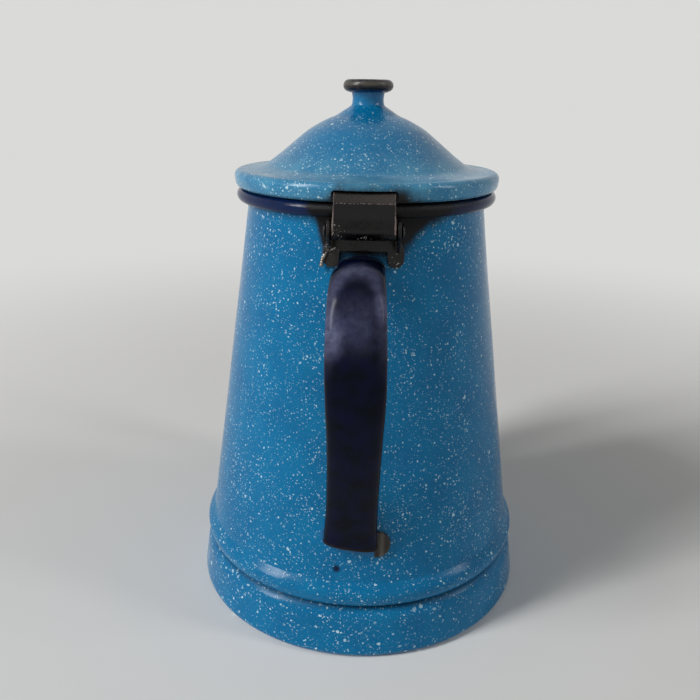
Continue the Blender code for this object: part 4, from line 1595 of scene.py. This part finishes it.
    def sheen_and_scuff_share(self, share: float, across: float) -> float:
        """Painted reflection round the top bend's upper rim and painted glints; hands dull it there
        too.
        """
        rim = math.hypot(across, max(self.rim_start - share, 0.0) / self.rim_length)
        band = near(abs(rim - self.rim_place), 0.0, self.rim_reach) * near(share, *self.rim_fade)
        glossy = 1.0 - band * self.rim_sheen
        for sheen_and_scuff in self.highlight_patches:
            glossy *= 1.0 - sheen_and_scuff.at(across, share)
        return 1.0 - glossy

    def paint_strap(self, strap: Piece, stations: int) -> None:
        """Stores wear and the painted sheen by where each vertex is along and across the strap.

        Args:
            strap: The strap, whose vertices are in the order of its rings.
            stations: How many rings it has.
        """
        wear, sheen_and_scuff = [], []
        for index in range(stations):
            share = index / (stations - 1)
            for across, _ in self.section(self.width, self.depth):
                place = across / self.width * 2
                wear.append(self.worn(share, place))
                sheen_and_scuff.append(self.sheen_and_scuff_share(share, place))
        for name, values in (("wear", wear), ("sheen_and_scuff", sheen_and_scuff)):
            strap.data.attributes.new(name, "FLOAT", "POINT").data.foreach_set("value", values)

    def build_strap(self, finishes: Finishes) -> Piece:
        """The strap itself."""
        rings = self.rings()
        strap = make_object("handle_strap", lofted(rings, sheet=True))
        reshape(strap, self.strap_skin.sink)
        self.paint_strap(strap, len(rings))
        return hand_over(strap, Body.POT, [finishes.cobalt], ["handle"])

    def build_plate(self, finishes: Finishes) -> Piece:
        """The plate under the foot, round at both ends and a little askew."""
        half, end = self.plate_width / 2, self.plate_height / 2
        level = [*arc((half - end, 0), end, -90, 90, 12), *arc((end - half, 0), end, 90, 270, 12)]
        turn = Matrix.Rotation(self.plate_turn, 2)
        middle = Vector((-self.lean / 4, self.foot + self.plate_rise))
        outline = [tuple(middle + turn @ Vector(point)) for point in level]
        top = self.plate_sheet + self.plate_sunk
        shape = wrapped_plate(self.sizes, outline, -self.plate_sunk, top)
        plate = fused("foot_plate", [shape], self.grain, rounds=6)
        reshape(plate, self.plate_skin.sink)
        paint(plate, "bare", lambda spot: near(self.bare_from - spot.x, *self.bare_fade))
        # The painted glint: a pale vertical band on the bare lobe, stored as "light".
        middle, full, none = self.painted_glint
        light = self.painted_glint_strength
        paint(plate, "light", lambda spot: near(abs(spot.x - middle), full, none) * light)
        return hand_over(plate, Body.POT, [finishes.plate], ["handle_foot_bracket"])

    def build(self, finishes: Finishes) -> None:
        """Builds and dresses both."""
        self.build_strap(finishes)
        self.build_plate(finishes)


def wrapped_plate(sizes: PotSizes, outline: Line, low: float, high: float) -> Shape:
    """A plate bent round the wall's handle side.

    Args:
        sizes: The pot's sizes.
        outline: (x, z) points.
        low: How far its inner face stands off the wall.
        high: How far its outer face does.

    Returns:
        A closed mesh whose faces point outwards.
    """
    shape = prism(outline, low, high, "Y")
    across = [point[0] for point in outline]
    count = math.ceil((max(across) - min(across)) / MM)
    for step in range(1, count):
        place = min(across) + (max(across) - min(across)) * step / count
        geometry = [*shape.verts, *shape.edges, *shape.faces]
        bmesh.ops.bisect_plane(shape, geom=geometry, plane_co=(place, 0, 0), plane_no=(1, 0, 0))
    for vertex in shape.verts:
        vertex.co = sizes.on_wall(vertex.co.x, vertex.co.z, vertex.co.y)
    bmesh.ops.recalc_face_normals(shape, faces=shape.faces)
    return shape


@dataclass
class Hinge:
    """The hinge: a bracket with two ears on the body, a pin, and the bent strap on the lid."""

    sizes: PotSizes
    pin_radius: float = 0.0016
    pin_head: float = 0.0009
    head_length: float = 0.0010
    sheet: float = 0.0012
    knuckle: float = 0.0031
    flange_depth: float = 0.0028
    flange_length: float = 0.0070
    tongue_half: float = 0.0070
    tongue_length: float = 0.0125
    narrowing: float = 0.0006
    bulge: float = 0.00040
    bracket_sheet: float = 0.0012
    ear: float = 0.0040
    leg_width: float = 0.0060
    leg_length: float = 0.0055
    root_half: float = 0.0080
    root_top: float = 0.1523
    grain: float = 0.00022
    bend: Pairs = ((0.0, 0.0008), (0.5, 0.0026), (1.0, 0.0046), (0.35, 0.0066), (0.0, 0.0080))
    head_shape: Pairs = ((-0.0002, 0.0), (0.0, 0.25), (-0.0002, 0.55), (-0.0008, 0.88))
    strap_skin: Skin = Skin(depth=0.00010, size=0.0035, seed=21.0)
    bracket_skin: Skin = Skin(depth=0.00012, size=0.0030, seed=31.0)
    pin_skin: Skin = Skin(depth=0.00008, size=0.0012, seed=41.0)
    side_fade: Fade = (0.0003, 0.0016)
    low_fade: Fade = (-0.0025, 0.001)
    fold_fade: Fade = (0.0001, 0.0006)
    fold_wear: float = 0.55
    front_fade: Fade = (-0.0535, -0.0520)
    slope_fade: Fade = (-0.0004, 0.0005)
    right_fade: Fade = (0.0, 0.018)
    left_light: float = 0.55
    ear_fade: Fade = (0.0004, 0.0012)
    left_fade: Fade = (-0.001, 0.003)
    bracket_wear_and_sheen: float = 0.35
    head_wear: float = 0.3
    crust_top: float = 0.1640
    strap_crusts: tuple[Patch, ...] = (
        Patch(-0.0085, 0.1600, 0.0008, 0.0036, tall=0.9),
        Patch(-0.0005, 0.1572, 0.0006, 0.0026, 0.9, wide=0.7),
    )
    bracket_crusts: tuple[Patch, ...] = (
        Patch(-0.0115, 0.1525, 0.001, 0.0045),
        Patch(0.0115, 0.1500, 0.001, 0.0050, 0.45),
    )
    braze_line: Pairs = (
        (-0.0143, 0.1476), (-0.0138, 0.1498), (-0.0124, 0.1520), (-0.0098, 0.1536)
    )
    braze_out: float = 0.0018

    def front_line(self) -> Line:
        """The strap's outer face from the side: round the pin, up the front, over the rim."""
        sizes = self.sizes
        front = sizes.pin_y - self.knuckle
        bottom, top = sizes.pin_z, sizes.lip_bottom
        slope_top = (-sizes.lid_radius, top + sizes.slope_rise)
        under_lip = (slope_top[0] + sizes.sheet * 2, slope_top[1] + sizes.sheet / 2)
        rise = sizes.lip_top - sizes.sheet - sizes.gap
        tongue = (-(sizes.lid_radius - sizes.lip_round) + sizes.sheet, rise - sizes.sheet / 2)
        bend = [
            *[(front - self.bulge * out, bottom + up) for out, up in self.bend],
            (front, top - 0.0005),
            (front + 0.0003, top + 0.0003),
        ]
        return [
            *arc((sizes.pin_y, sizes.pin_z), self.knuckle, 475, 180, 40),
            *flat_flow(bend, 4),
            slope_top,
            under_lip,
            tongue,
            (slope_top[0] + self.tongue_length, rise + sizes.gap * 3),
        ]

    def strap_solids(self) -> list[Shape]:
        """The strap, its side flanges and its tongue, as overlapping solids."""
        sizes = self.sizes
        line = self.front_line()
        edge = -(sizes.lid_radius - sizes.sheet * 2)
        outer_line = [point for point in line if point[0] < edge + MM]
        half = sizes.strap_half - 0.0001
        front = sizes.pin_y - self.knuckle
        top = sizes.lip_bottom + self.sheet / 2
        bottom = top - self.flange_length
        flange = [
            (front + self.sheet / 2, bottom),
            (front + self.flange_depth, bottom + self.sheet),
            (front + self.flange_depth, top),
            (front + self.sheet / 2, top - self.sheet),
        ]
        return [
            prism(sheet_outline(line, -self.sheet), -self.tongue_half, self.tongue_half, "X"),
            prism(sheet_outline(outer_line, -self.sheet), -half, half, "X"),
            prism(flange, -half, self.sheet - half, "X"),
            prism(flange, half - self.sheet, half, "X"),
        ]

    def taper(self, spot: Vector, normal: Vector) -> Vector:
        """Narrows the strap towards its top bend."""
        up = near(self.sizes.lip_bottom - spot.z, 0.0, 0.010)
        wide = near(-spot.y, 0.0480, 0.0500)
        factor = 1 - self.narrowing / self.sizes.strap_half * up * (1 - wide)
        return Vector((spot.x * factor, spot.y, spot.z))

    def strap_wear(self, spot: Vector) -> float:
        """How worn the strap is: along its side edges and its top bend."""
        low = self.sizes.pin_z - self.knuckle
        side = near(self.sizes.strap_half - abs(spot.x), *self.side_fade)
        side *= near(low + MM - spot.z, *self.low_fade)
        fold = near(abs(spot.z - self.sizes.lip_bottom), *self.fold_fade) * self.fold_wear
        return max(side, fold * near(spot.y, *self.front_fade))

    def strap_light(self, spot: Vector) -> float:
        """How pale the strap is: paler on its sloped top, most at the right."""
        slope = near(self.sizes.lip_bottom + MM / 5 - spot.z, *self.slope_fade)
        right = near(10 * MM - spot.x, *self.right_fade)
        return slope * (self.left_light + (1.0 - self.left_light) * right)

    def strap_crust(self, spot: Vector) -> float:
        """Where grains of scale sit on the strap's front: low on the left, and at the bottom."""
        if spot.y > self.sizes.pin_y - self.knuckle * 0.55 or spot.z > self.crust_top:
            return 0.0
        return max(patch.at(spot.x, spot.z) for patch in self.strap_crusts)

    def add_crust(
        self, host: Piece, name: str, grain: NodeShape, body: Body, finish: Finish
    ) -> None:
        """Lays grains over a piece that has been painted with where they sit.

        Args:
            host: The piece.
            name: The name of the grains' own piece.
            grain: The tree that makes them.
            body: The body that they move with.
            finish: Their material.
        """
        crust = add_object(name, host.data.copy())
        grain.run(crust, finish)
        hand_over(crust, body, [])

    def build_strap(self, finishes: Finishes) -> Piece:
        """The strap on the lid, and its crust."""
        strap = fused("hinge_strap", self.strap_solids(), self.grain, rounds=5)
        reshape(strap, self.taper)
        reshape(strap, self.strap_skin.sink)
        paint(strap, "wear", self.strap_wear)
        paint(strap, "light", self.strap_light)
        paint(strap, "crust", self.strap_crust)
        grain = grains("strap_grains", density=1.4e6, smallest=0.00010, largest=0.00034, seed=5)
        self.add_crust(strap, "strap_crust", grain, Body.LID, finishes.crust)
        return hand_over(strap, Body.LID, [finishes.scorched], ["lid_strap"])

    def bracket_outline(self) -> Line:
        """The bracket's outline on the wall, with a leg at each side of the handle's root."""
        top = self.sizes.pin_z - self.knuckle - self.sizes.gap
        bottom = self.root_top - self.leg_length
        outside = self.root_half + self.leg_width
        rounding = self.leg_width / 2
        ears = self.sizes.strap_half + self.sizes.gap + self.bracket_sheet
        leg = arc((outside - rounding, bottom + rounding), rounding, -180, 0, 14)
        return [
            (self.root_half, self.root_top),
            *leg,
            (outside, self.root_top),
            (ears, top),
            (-ears, top),
            (-outside, self.root_top),
            *[(-x, z) for x, z in reversed(leg)],
            (-self.root_half, self.root_top),
        ]

    def ear_outline(self) -> Line:
        """An ear from the side, from round the pin down to the wall."""
        sizes = self.sizes
        return [
            *arc((sizes.pin_y, sizes.pin_z), self.ear, 60, 200, 20),
            (-sizes.wall(self.root_top) - self.bracket_sheet * 0.9, self.root_top),
            (-sizes.wall(self.root_top) + 0.0004, self.root_top),
            (-sizes.mouth_radius + 0.0012, sizes.cone_top),
        ]

    def stay_out(self, spot: Vector, normal: Vector) -> Vector:
        """Keeps the bracket out of the pot's inside, sunk a little into the wall's sheet."""
        wall = self.sizes.wall(min(spot.z, self.sizes.cone_top))
        return pushed_out(spot, wall - self.sizes.sheet / 2)

    def bracket_crust(self, spot: Vector) -> float:
        """Where grains sit on the bracket: over its left leg, thinly over the rest."""
        out = math.hypot(spot.x, spot.y) - self.sizes.wall(min(spot.z, self.sizes.cone_top))
        if out < self.bracket_sheet * 0.7:
            return 0.0
        return max(patch.at(spot.x, spot.z) for patch in self.bracket_crusts)

    def build_bracket(self, finishes: Finishes) -> Piece:
        """The bracket with its ears, its crust and the beads of braze along its left leg."""
        inner = self.sizes.strap_half + self.sizes.gap
        outer = inner + self.bracket_sheet
        solids = [wrapped_plate(self.sizes, self.bracket_outline(), -0.0003, 0.0015)]
        for low, high in ((inner, outer), (-outer, -inner)):
            solids.append(prism(self.ear_outline(), low, high, "X"))
        bracket = fused("hinge_bracket_plate", solids, self.grain, rounds=4)
        reshape(bracket, self.bracket_skin.sink)
        reshape(bracket, self.stay_out)
        sheen_and_scuff = self.bracket_wear_and_sheen
        paint(bracket, "wear", lambda spot: sheen_and_scuff * near(abs(abs(spot.x) - inner), *self.ear_fade))
        # Painted sheen: the left leg is painted paler, standing in for a reflection on it.
        paint(bracket, "light", lambda spot: sheen_and_scuff * near(spot.x + 0.0105, *self.left_fade))
        paint(bracket, "crust", self.bracket_crust)
        grain = grains("bracket_grains", density=7.0e5, smallest=0.00012, largest=0.00036, seed=9)
        self.add_crust(bracket, "bracket_crust", grain, Body.POT, finishes.crust)
        path = bmesh.new()
        spots = flat_flow(self.braze_line, 4)
        line = [path.verts.new(self.sizes.on_wall(x, z, self.braze_out)) for x, z in spots]
        for pair in zip(line, line[1:]):
            path.edges.new(pair)
        braze = make_object("braze_beads", path)
        bead = beads("braze", spacing=0.00085, smallest=0.00042, largest=0.00085, seed=3)
        bead.run(braze, finishes.braze)
        hand_over(braze, Body.POT, [])
        return hand_over(bracket, Body.POT, [finishes.scorched], ["hinge_bracket"])

    def build_pin(self, finishes: Finishes) -> Piece:
        """The pin with a peened head outside each ear."""
        shank = self.sizes.strap_half + self.bracket_sheet + self.sizes.gap * 2
        head = self.pin_radius + self.pin_head
        dome = self.head_length
        side = [
            (self.pin_radius, 0.0),
            (self.pin_radius, shank - 0.0001),
            *[(head + out, shank + dome * up) for out, up in self.head_shape],
            (self.pin_radius * 0.45, shank + dome),
            (0, shank + dome),
        ]
        outline = [*[(radius, -height) for radius, height in reversed(side[1:])], *side]
        shape = turned(outline, even_turns(40), closed=False)
        place = Matrix.Translation((0, self.sizes.pin_y, self.sizes.pin_z))
        place = place @ Matrix.Rotation(math.pi / 2, 4, "Y")
        bmesh.ops.transform(shape, matrix=place, verts=shape.verts)
        pin = make_object("hinge_rivet", shape)
        reshape(pin, self.pin_skin.sink)
        edge = shank + dome * 0.6
        wear = self.head_wear
        paint(pin, "wear", lambda spot: wear * near(edge - abs(spot.x), 0.0, 0.0004))
        return hand_over(pin, Body.POT, [finishes.scorched], ["hinge_pin"])

    def build(self, finishes: Finishes) -> None:
        """Builds and dresses all of them."""
        self.build_strap(finishes)
        self.build_bracket(finishes)
        self.build_pin(finishes)


@dataclass
class Lid:
    """The lid: a pressed dome with a rolled lip and a drawn neck, a skirt ring, and the knob."""

    sizes: PotSizes
    steps: int = 256
    tuck: float = 0.0010
    dome_height: float = 0.0235
    neck_radius: float = 0.0060
    neck_length: float = 0.0058
    knob_radius: float = 0.0095
    knob_round: float = 0.0022
    knob_sheet: float = 0.0008
    skirt_play: float = 0.0010
    skirt_depth: float = 0.0088
    skirt_notch: float = 0.0560
    notch_corner: float = 0.0012
    hem_drop: float = 0.00012
    neck: Pairs = ((0.0003, 0.0), (0.0, 0.0018), (0.0001, 0.0032), (0.0004, 0.0046))
    dome_skin: Skin = Skin(depth=0.00012, size=0.024, seed=51.0)
    knob_skin: Skin = Skin(depth=0.00010, size=0.0045, seed=61.0)
    rim_fade: Fade = (0.0002, 0.0016)
    out_fade: Fade = (0.0, 0.0030)
    dome: Pairs = (
        (0.905, 0.002), (0.850, 0.012), (0.770, 0.054), (0.721, 0.124),
        (0.660, 0.222), (0.604, 0.322), (0.500, 0.506), (0.420, 0.638),
        (0.307, 0.770), (0.234, 0.837), (0.183, 0.909), (0.145, 0.960),
    )

    def dome_line(self) -> Line:
        """The dome's upper face from its lip up to the flare under the knob."""
        sizes = self.sizes
        top = sizes.lip_top + self.dome_height
        middle = (sizes.lid_radius - sizes.lip_round, sizes.lip_top - sizes.lip_round)
        radius = sizes.lid_radius
        lip = arc(middle, sizes.lip_round, 0, 84, 14)
        crown = [(radius * out, sizes.lip_top + self.dome_height * up) for out, up in self.dome]
        neck = [(self.neck_radius + out, top + up) for out, up in self.neck]
        neck.append((self.neck_radius + 0.0009, top + self.neck_length))
        low = [
            (radius - self.tuck, sizes.lip_bottom),
            (radius - self.tuck * 0.35, sizes.lip_bottom + 0.0010),
        ]
        return [*low, *lip, *flat_flow([lip[-1], *crown, *neck], 5)[1:]]

    def build_dome(self, finishes: Finishes) -> Piece:
        """The dome, notched at its lip for the strap."""
        sizes = self.sizes
        line = self.dome_line()
        inner = aside(line, sizes.sheet)
        hem_r, hem_z = line[0][0] - sizes.sheet / 2, sizes.lip_bottom - self.hem_drop
        hem = [(hem_r - sizes.sheet * 0.3, hem_z), (hem_r + sizes.sheet * 0.3, hem_z)]
        outline = [*line, *reversed(inner), *hem]
        dome = make_object("lid_dome", turned(outline, even_turns(self.steps)))
        reshape(dome, self.dome_skin.sink)
        half = sizes.strap_half + sizes.gap
        top = sizes.lip_bottom + sizes.slope_rise + sizes.sheet
        outer, inside = sizes.lid_radius + 0.005, sizes.lid_radius - sizes.sheet * 2 - sizes.gap
        corner = self.notch_corner
        right = [
            (half, sizes.cone_top),
            (half, top - corner),
            (half - corner * 0.3, top - corner * 0.3),
            (half - corner, top),
        ]
        left = [(-across, up) for across, up in right]
        notch = [left[0], *right, *reversed(left[1:])]
        cut(dome, make_object("lip_notch", prism(notch, -outer, -inside, "Y")))
        return hand_over(dome, Body.LID, [finishes.lid], ["lid_shell"])

    def build_ring(self, finishes: Finishes) -> Piece:
        """The ring inside the lid, with a skirt that stops short at the hinge."""
        sizes = self.sizes
        seat = sizes.curl_middle[1] + sizes.curl_radius + sizes.gap
        skirt = sizes.mouth_radius - sizes.sheet - self.skirt_play
        outer = sizes.lid_radius - sizes.sheet - self.tuck - sizes.gap
        bend = 0.0012
        line = [
            (outer, seat),
            *arc((skirt + bend, seat - bend), bend, 90, 180, 6),
            (skirt, seat - self.skirt_depth + 0.0004),
            (skirt - 0.0002, seat - self.skirt_depth),
        ]
        ring = turned(sheet_outline(line, -sizes.sheet), even_turns(self.steps))
        ring = make_object("lid_skirt_ring", ring)
        half, stub = self.skirt_notch / 2, seat - bend - sizes.gap
        notch = [(-half, 0.1), (half, 0.1), (half, stub), (-half, stub)]
        cut(ring, make_object("skirt_notch", prism(notch, -sizes.base_radius, 0, "Y")))
        return hand_over(ring, Body.LID, [finishes.lid], ["lid_flange"])

    def build_knob(self, finishes: Finishes) -> Piece:
        """The knob's cap, whose rounded rim flares down on to the neck."""
        top = self.sizes.lip_top + self.dome_height + self.neck_length
        middle = (self.knob_radius - self.knob_round, top + self.sizes.sheet)
        crown = middle[1] + self.knob_round
        rim = arc(middle, self.knob_round, 90, -80, 22)
        line = [
            (0, crown - 0.0003),
            (0.0040, crown - 0.0002),
            *rim,
            (rim[-1][0] - 0.0006, rim[-1][1] - 0.0003),
            (self.neck_radius + 0.0009, top - 0.0012),
            (self.neck_radius + 0.0002, top - 0.0010),
            (self.neck_radius + 0.0006, top + self.knob_sheet),
            (self.neck_radius, crown - 0.0003 - self.knob_sheet),
            (0, crown - 0.0003 - self.knob_sheet),
        ]
        knob = make_object("knob", turned(line, even_turns(96), closed=False))
        reshape(knob, self.knob_skin.sink)
        paint(knob, "wear", lambda spot: self.knob_wear(spot, middle[1]))
        return hand_over(knob, Body.LID, [finishes.knob], ["knob_cap"])

    def knob_wear(self, spot: Vector, height: float) -> float:
        """How worn the knob is, most where its rim is widest, just above its middle's height."""
        level = near(abs(spot.z - height - 0.0006), *self.rim_fade)
        return level * near(0.0092 - math.hypot(spot.x, spot.y), *self.out_fade)

    def build(self, finishes: Finishes) -> None:
        """Builds and dresses all three."""
        self.build_dome(finishes)
        self.build_ring(finishes)
        self.build_knob(finishes)


@dataclass(frozen=True)
class Lamp:
    """A soft box: where it hangs round the pot, in degrees and metres, and how strong it is."""

    name: str
    turn: float
    rise: float
    distance: float
    width: float
    height: float
    watts: float


@dataclass
class Studio:
    """A pale floor, soft boxes and the camera at the photograph's viewing angle."""

    lens: float = 37.03
    camera_place: tuple[float, float, float] = (0.0025, -0.2892, 0.2026)
    pitch: float = 19.55
    yaw: float = 1.56
    roll: float = 0.91
    floor_radius: float = 6.0
    floor_colour: str = "#F5F4F2"
    floor_mottle: str = "#F0EFEC"
    sky_colour: str = "#DADAD8"
    sky_light: float = 0.17
    fade: tuple[float, float] = (0.16, 0.75)
    aim: tuple[float, float, float] = (0.0, 0.0, 0.10)
    lamps: tuple[Lamp, ...] = (
        Lamp("key_box", -62.0, 33.0, 2.60, 0.55, 1.50, 50.0),
        Lamp("fill_box", 76.0, 32.0, 2.60, 0.40, 1.20, 11.0),
    )

    def seen(self, tree: Tree) -> Socket:
        """1 for rays of the camera, of gloss and of glass, and 0 for those that light things."""
        ray = add(tree, "ShaderNodeLightPath").node.outputs
        both = (ray["Is Camera Ray"], ray["Is Glossy Ray"])
        both = (add(tree, "ShaderNodeMath", both, operation="MAXIMUM"), ray["Is Transmission Ray"])
        return add(tree, "ShaderNodeMath", both, operation="MAXIMUM")

    def build_floor(self) -> None:
        """A wide pale floor, which runs into the backdrop's tone away from the pot."""
        shape = bmesh.new()
        bmesh.ops.create_circle(shape, cap_ends=True, segments=96, radius=self.floor_radius)
        floor = make_object("floor", shape)
        finish, tree, place = start_finish("pale paper of the floor")
        mottle = add(tree, "ShaderNodeTexNoise", {"Vector": place, "Scale": 0.01, "Detail": 2.0})
        rough = add(tree, "ShaderNodeMapRange", (mottle, 0.0, 1.0, 0.75, 0.8))
        colours = {0: mottle, MIX_A: self.floor_colour, MIX_B: self.floor_mottle}
        colour = add(tree, "ShaderNodeMix", colours, **RGBA)
        flat = add(tree, "ShaderNodeMath", (mottle, 0.0), operation="MULTIPLY")
        end_finish(tree, colour, rough, flat)
        far = add(tree, "ShaderNodeVectorMath", (place,), "Value", operation="LENGTH")
        far = (far, self.fade[0] / MM, self.fade[1] / MM)
        far = add(tree, "ShaderNodeMapRange", far, **SMOOTH)
        far = add(tree, "ShaderNodeMath", (far, self.seen(tree)), operation="MULTIPLY")
        glow = add(tree, "ShaderNodeEmission", {"Color": self.sky_colour})
        paper = tree.nodes["Principled BSDF"].outputs[0]
        both = add(tree, "ShaderNodeMixShader", {0: far, 1: paper, 2: glow})
        tree.links.new(both, tree.nodes["Material Output"].inputs["Surface"])
        floor.data.materials.append(finish)

    def build_world(self) -> None:
        """A dim even light, which the camera and gloss see as a pale backdrop."""
        world = bpy.data.worlds.new("pale_room")
        bpy.context.scene.world = world
        world.use_nodes = True
        tree = world.node_tree
        strength = {"Value": self.seen(tree), "To Min": self.sky_light, "To Max": 1.0}
        strength = add(tree, "ShaderNodeMapRange", strength)
        sky = tree.nodes["Background"]
        sky.inputs["Color"].default_value = linear(self.sky_colour)
        tree.links.new(strength, sky.inputs["Strength"])

    def build_lamp(self, lamp: Lamp) -> None:
        """Hangs one soft box and turns it to the pot."""
        light = bpy.data.lights.new(lamp.name, "AREA")
        light.shape = "RECTANGLE"
        light.size = lamp.width
        light.size_y = lamp.height
        light.energy = lamp.watts
        turn, rise = math.radians(lamp.turn), math.radians(lamp.rise)
        level = math.cos(rise)
        away = Vector((math.sin(turn) * level, -math.cos(turn) * level, math.sin(rise)))
        holder = add_object(lamp.name, light)
        holder.location = Vector(self.aim) + away * lamp.distance
        holder.rotation_euler = away.to_track_quat("Z", "Y").to_euler()
        holder.visible_camera = False

    def build_camera(self) -> None:
        """The camera, fitted to the photograph's perspective."""
        lens = bpy.data.cameras.new("camera")
        lens.lens = self.lens
        lens.clip_start = 0.01
        camera = add_object("camera", lens)
        down = Matrix.Rotation(math.radians(90 - self.pitch), 4, "X")
        sideways = Matrix.Rotation(math.radians(self.yaw), 4, "Z")
        lean = Matrix.Rotation(math.radians(self.roll), 4, "Z")
        camera.matrix_world = Matrix.Translation(self.camera_place) @ sideways @ down @ lean
        bpy.context.scene.camera = camera

    def build(self) -> None:
        """Sets up the whole studio."""
        bpy.context.scene.view_settings.view_transform = "Standard"
        self.build_floor()
        self.build_world()
        for lamp in self.lamps:
            self.build_lamp(lamp)
        self.build_camera()


def corners(box: Sequence[Point]) -> list[list[float]]:
    """A box's two corners as plain lists."""
    return [[float(value) for value in corner] for corner in box]


def main() -> None:
    """Builds the pot round the frame."""
    logging.basicConfig(level=logging.INFO, format="%(message)s")
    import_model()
    sizes = PotSizes()
    finishes = Finishes()
    for assembly in (PotBody(sizes), Spout(sizes), Handle(sizes), Hinge(sizes), Lid(sizes)):
        assembly.build(finishes)
    Studio().build()


if __name__ == "__main__":
    main()
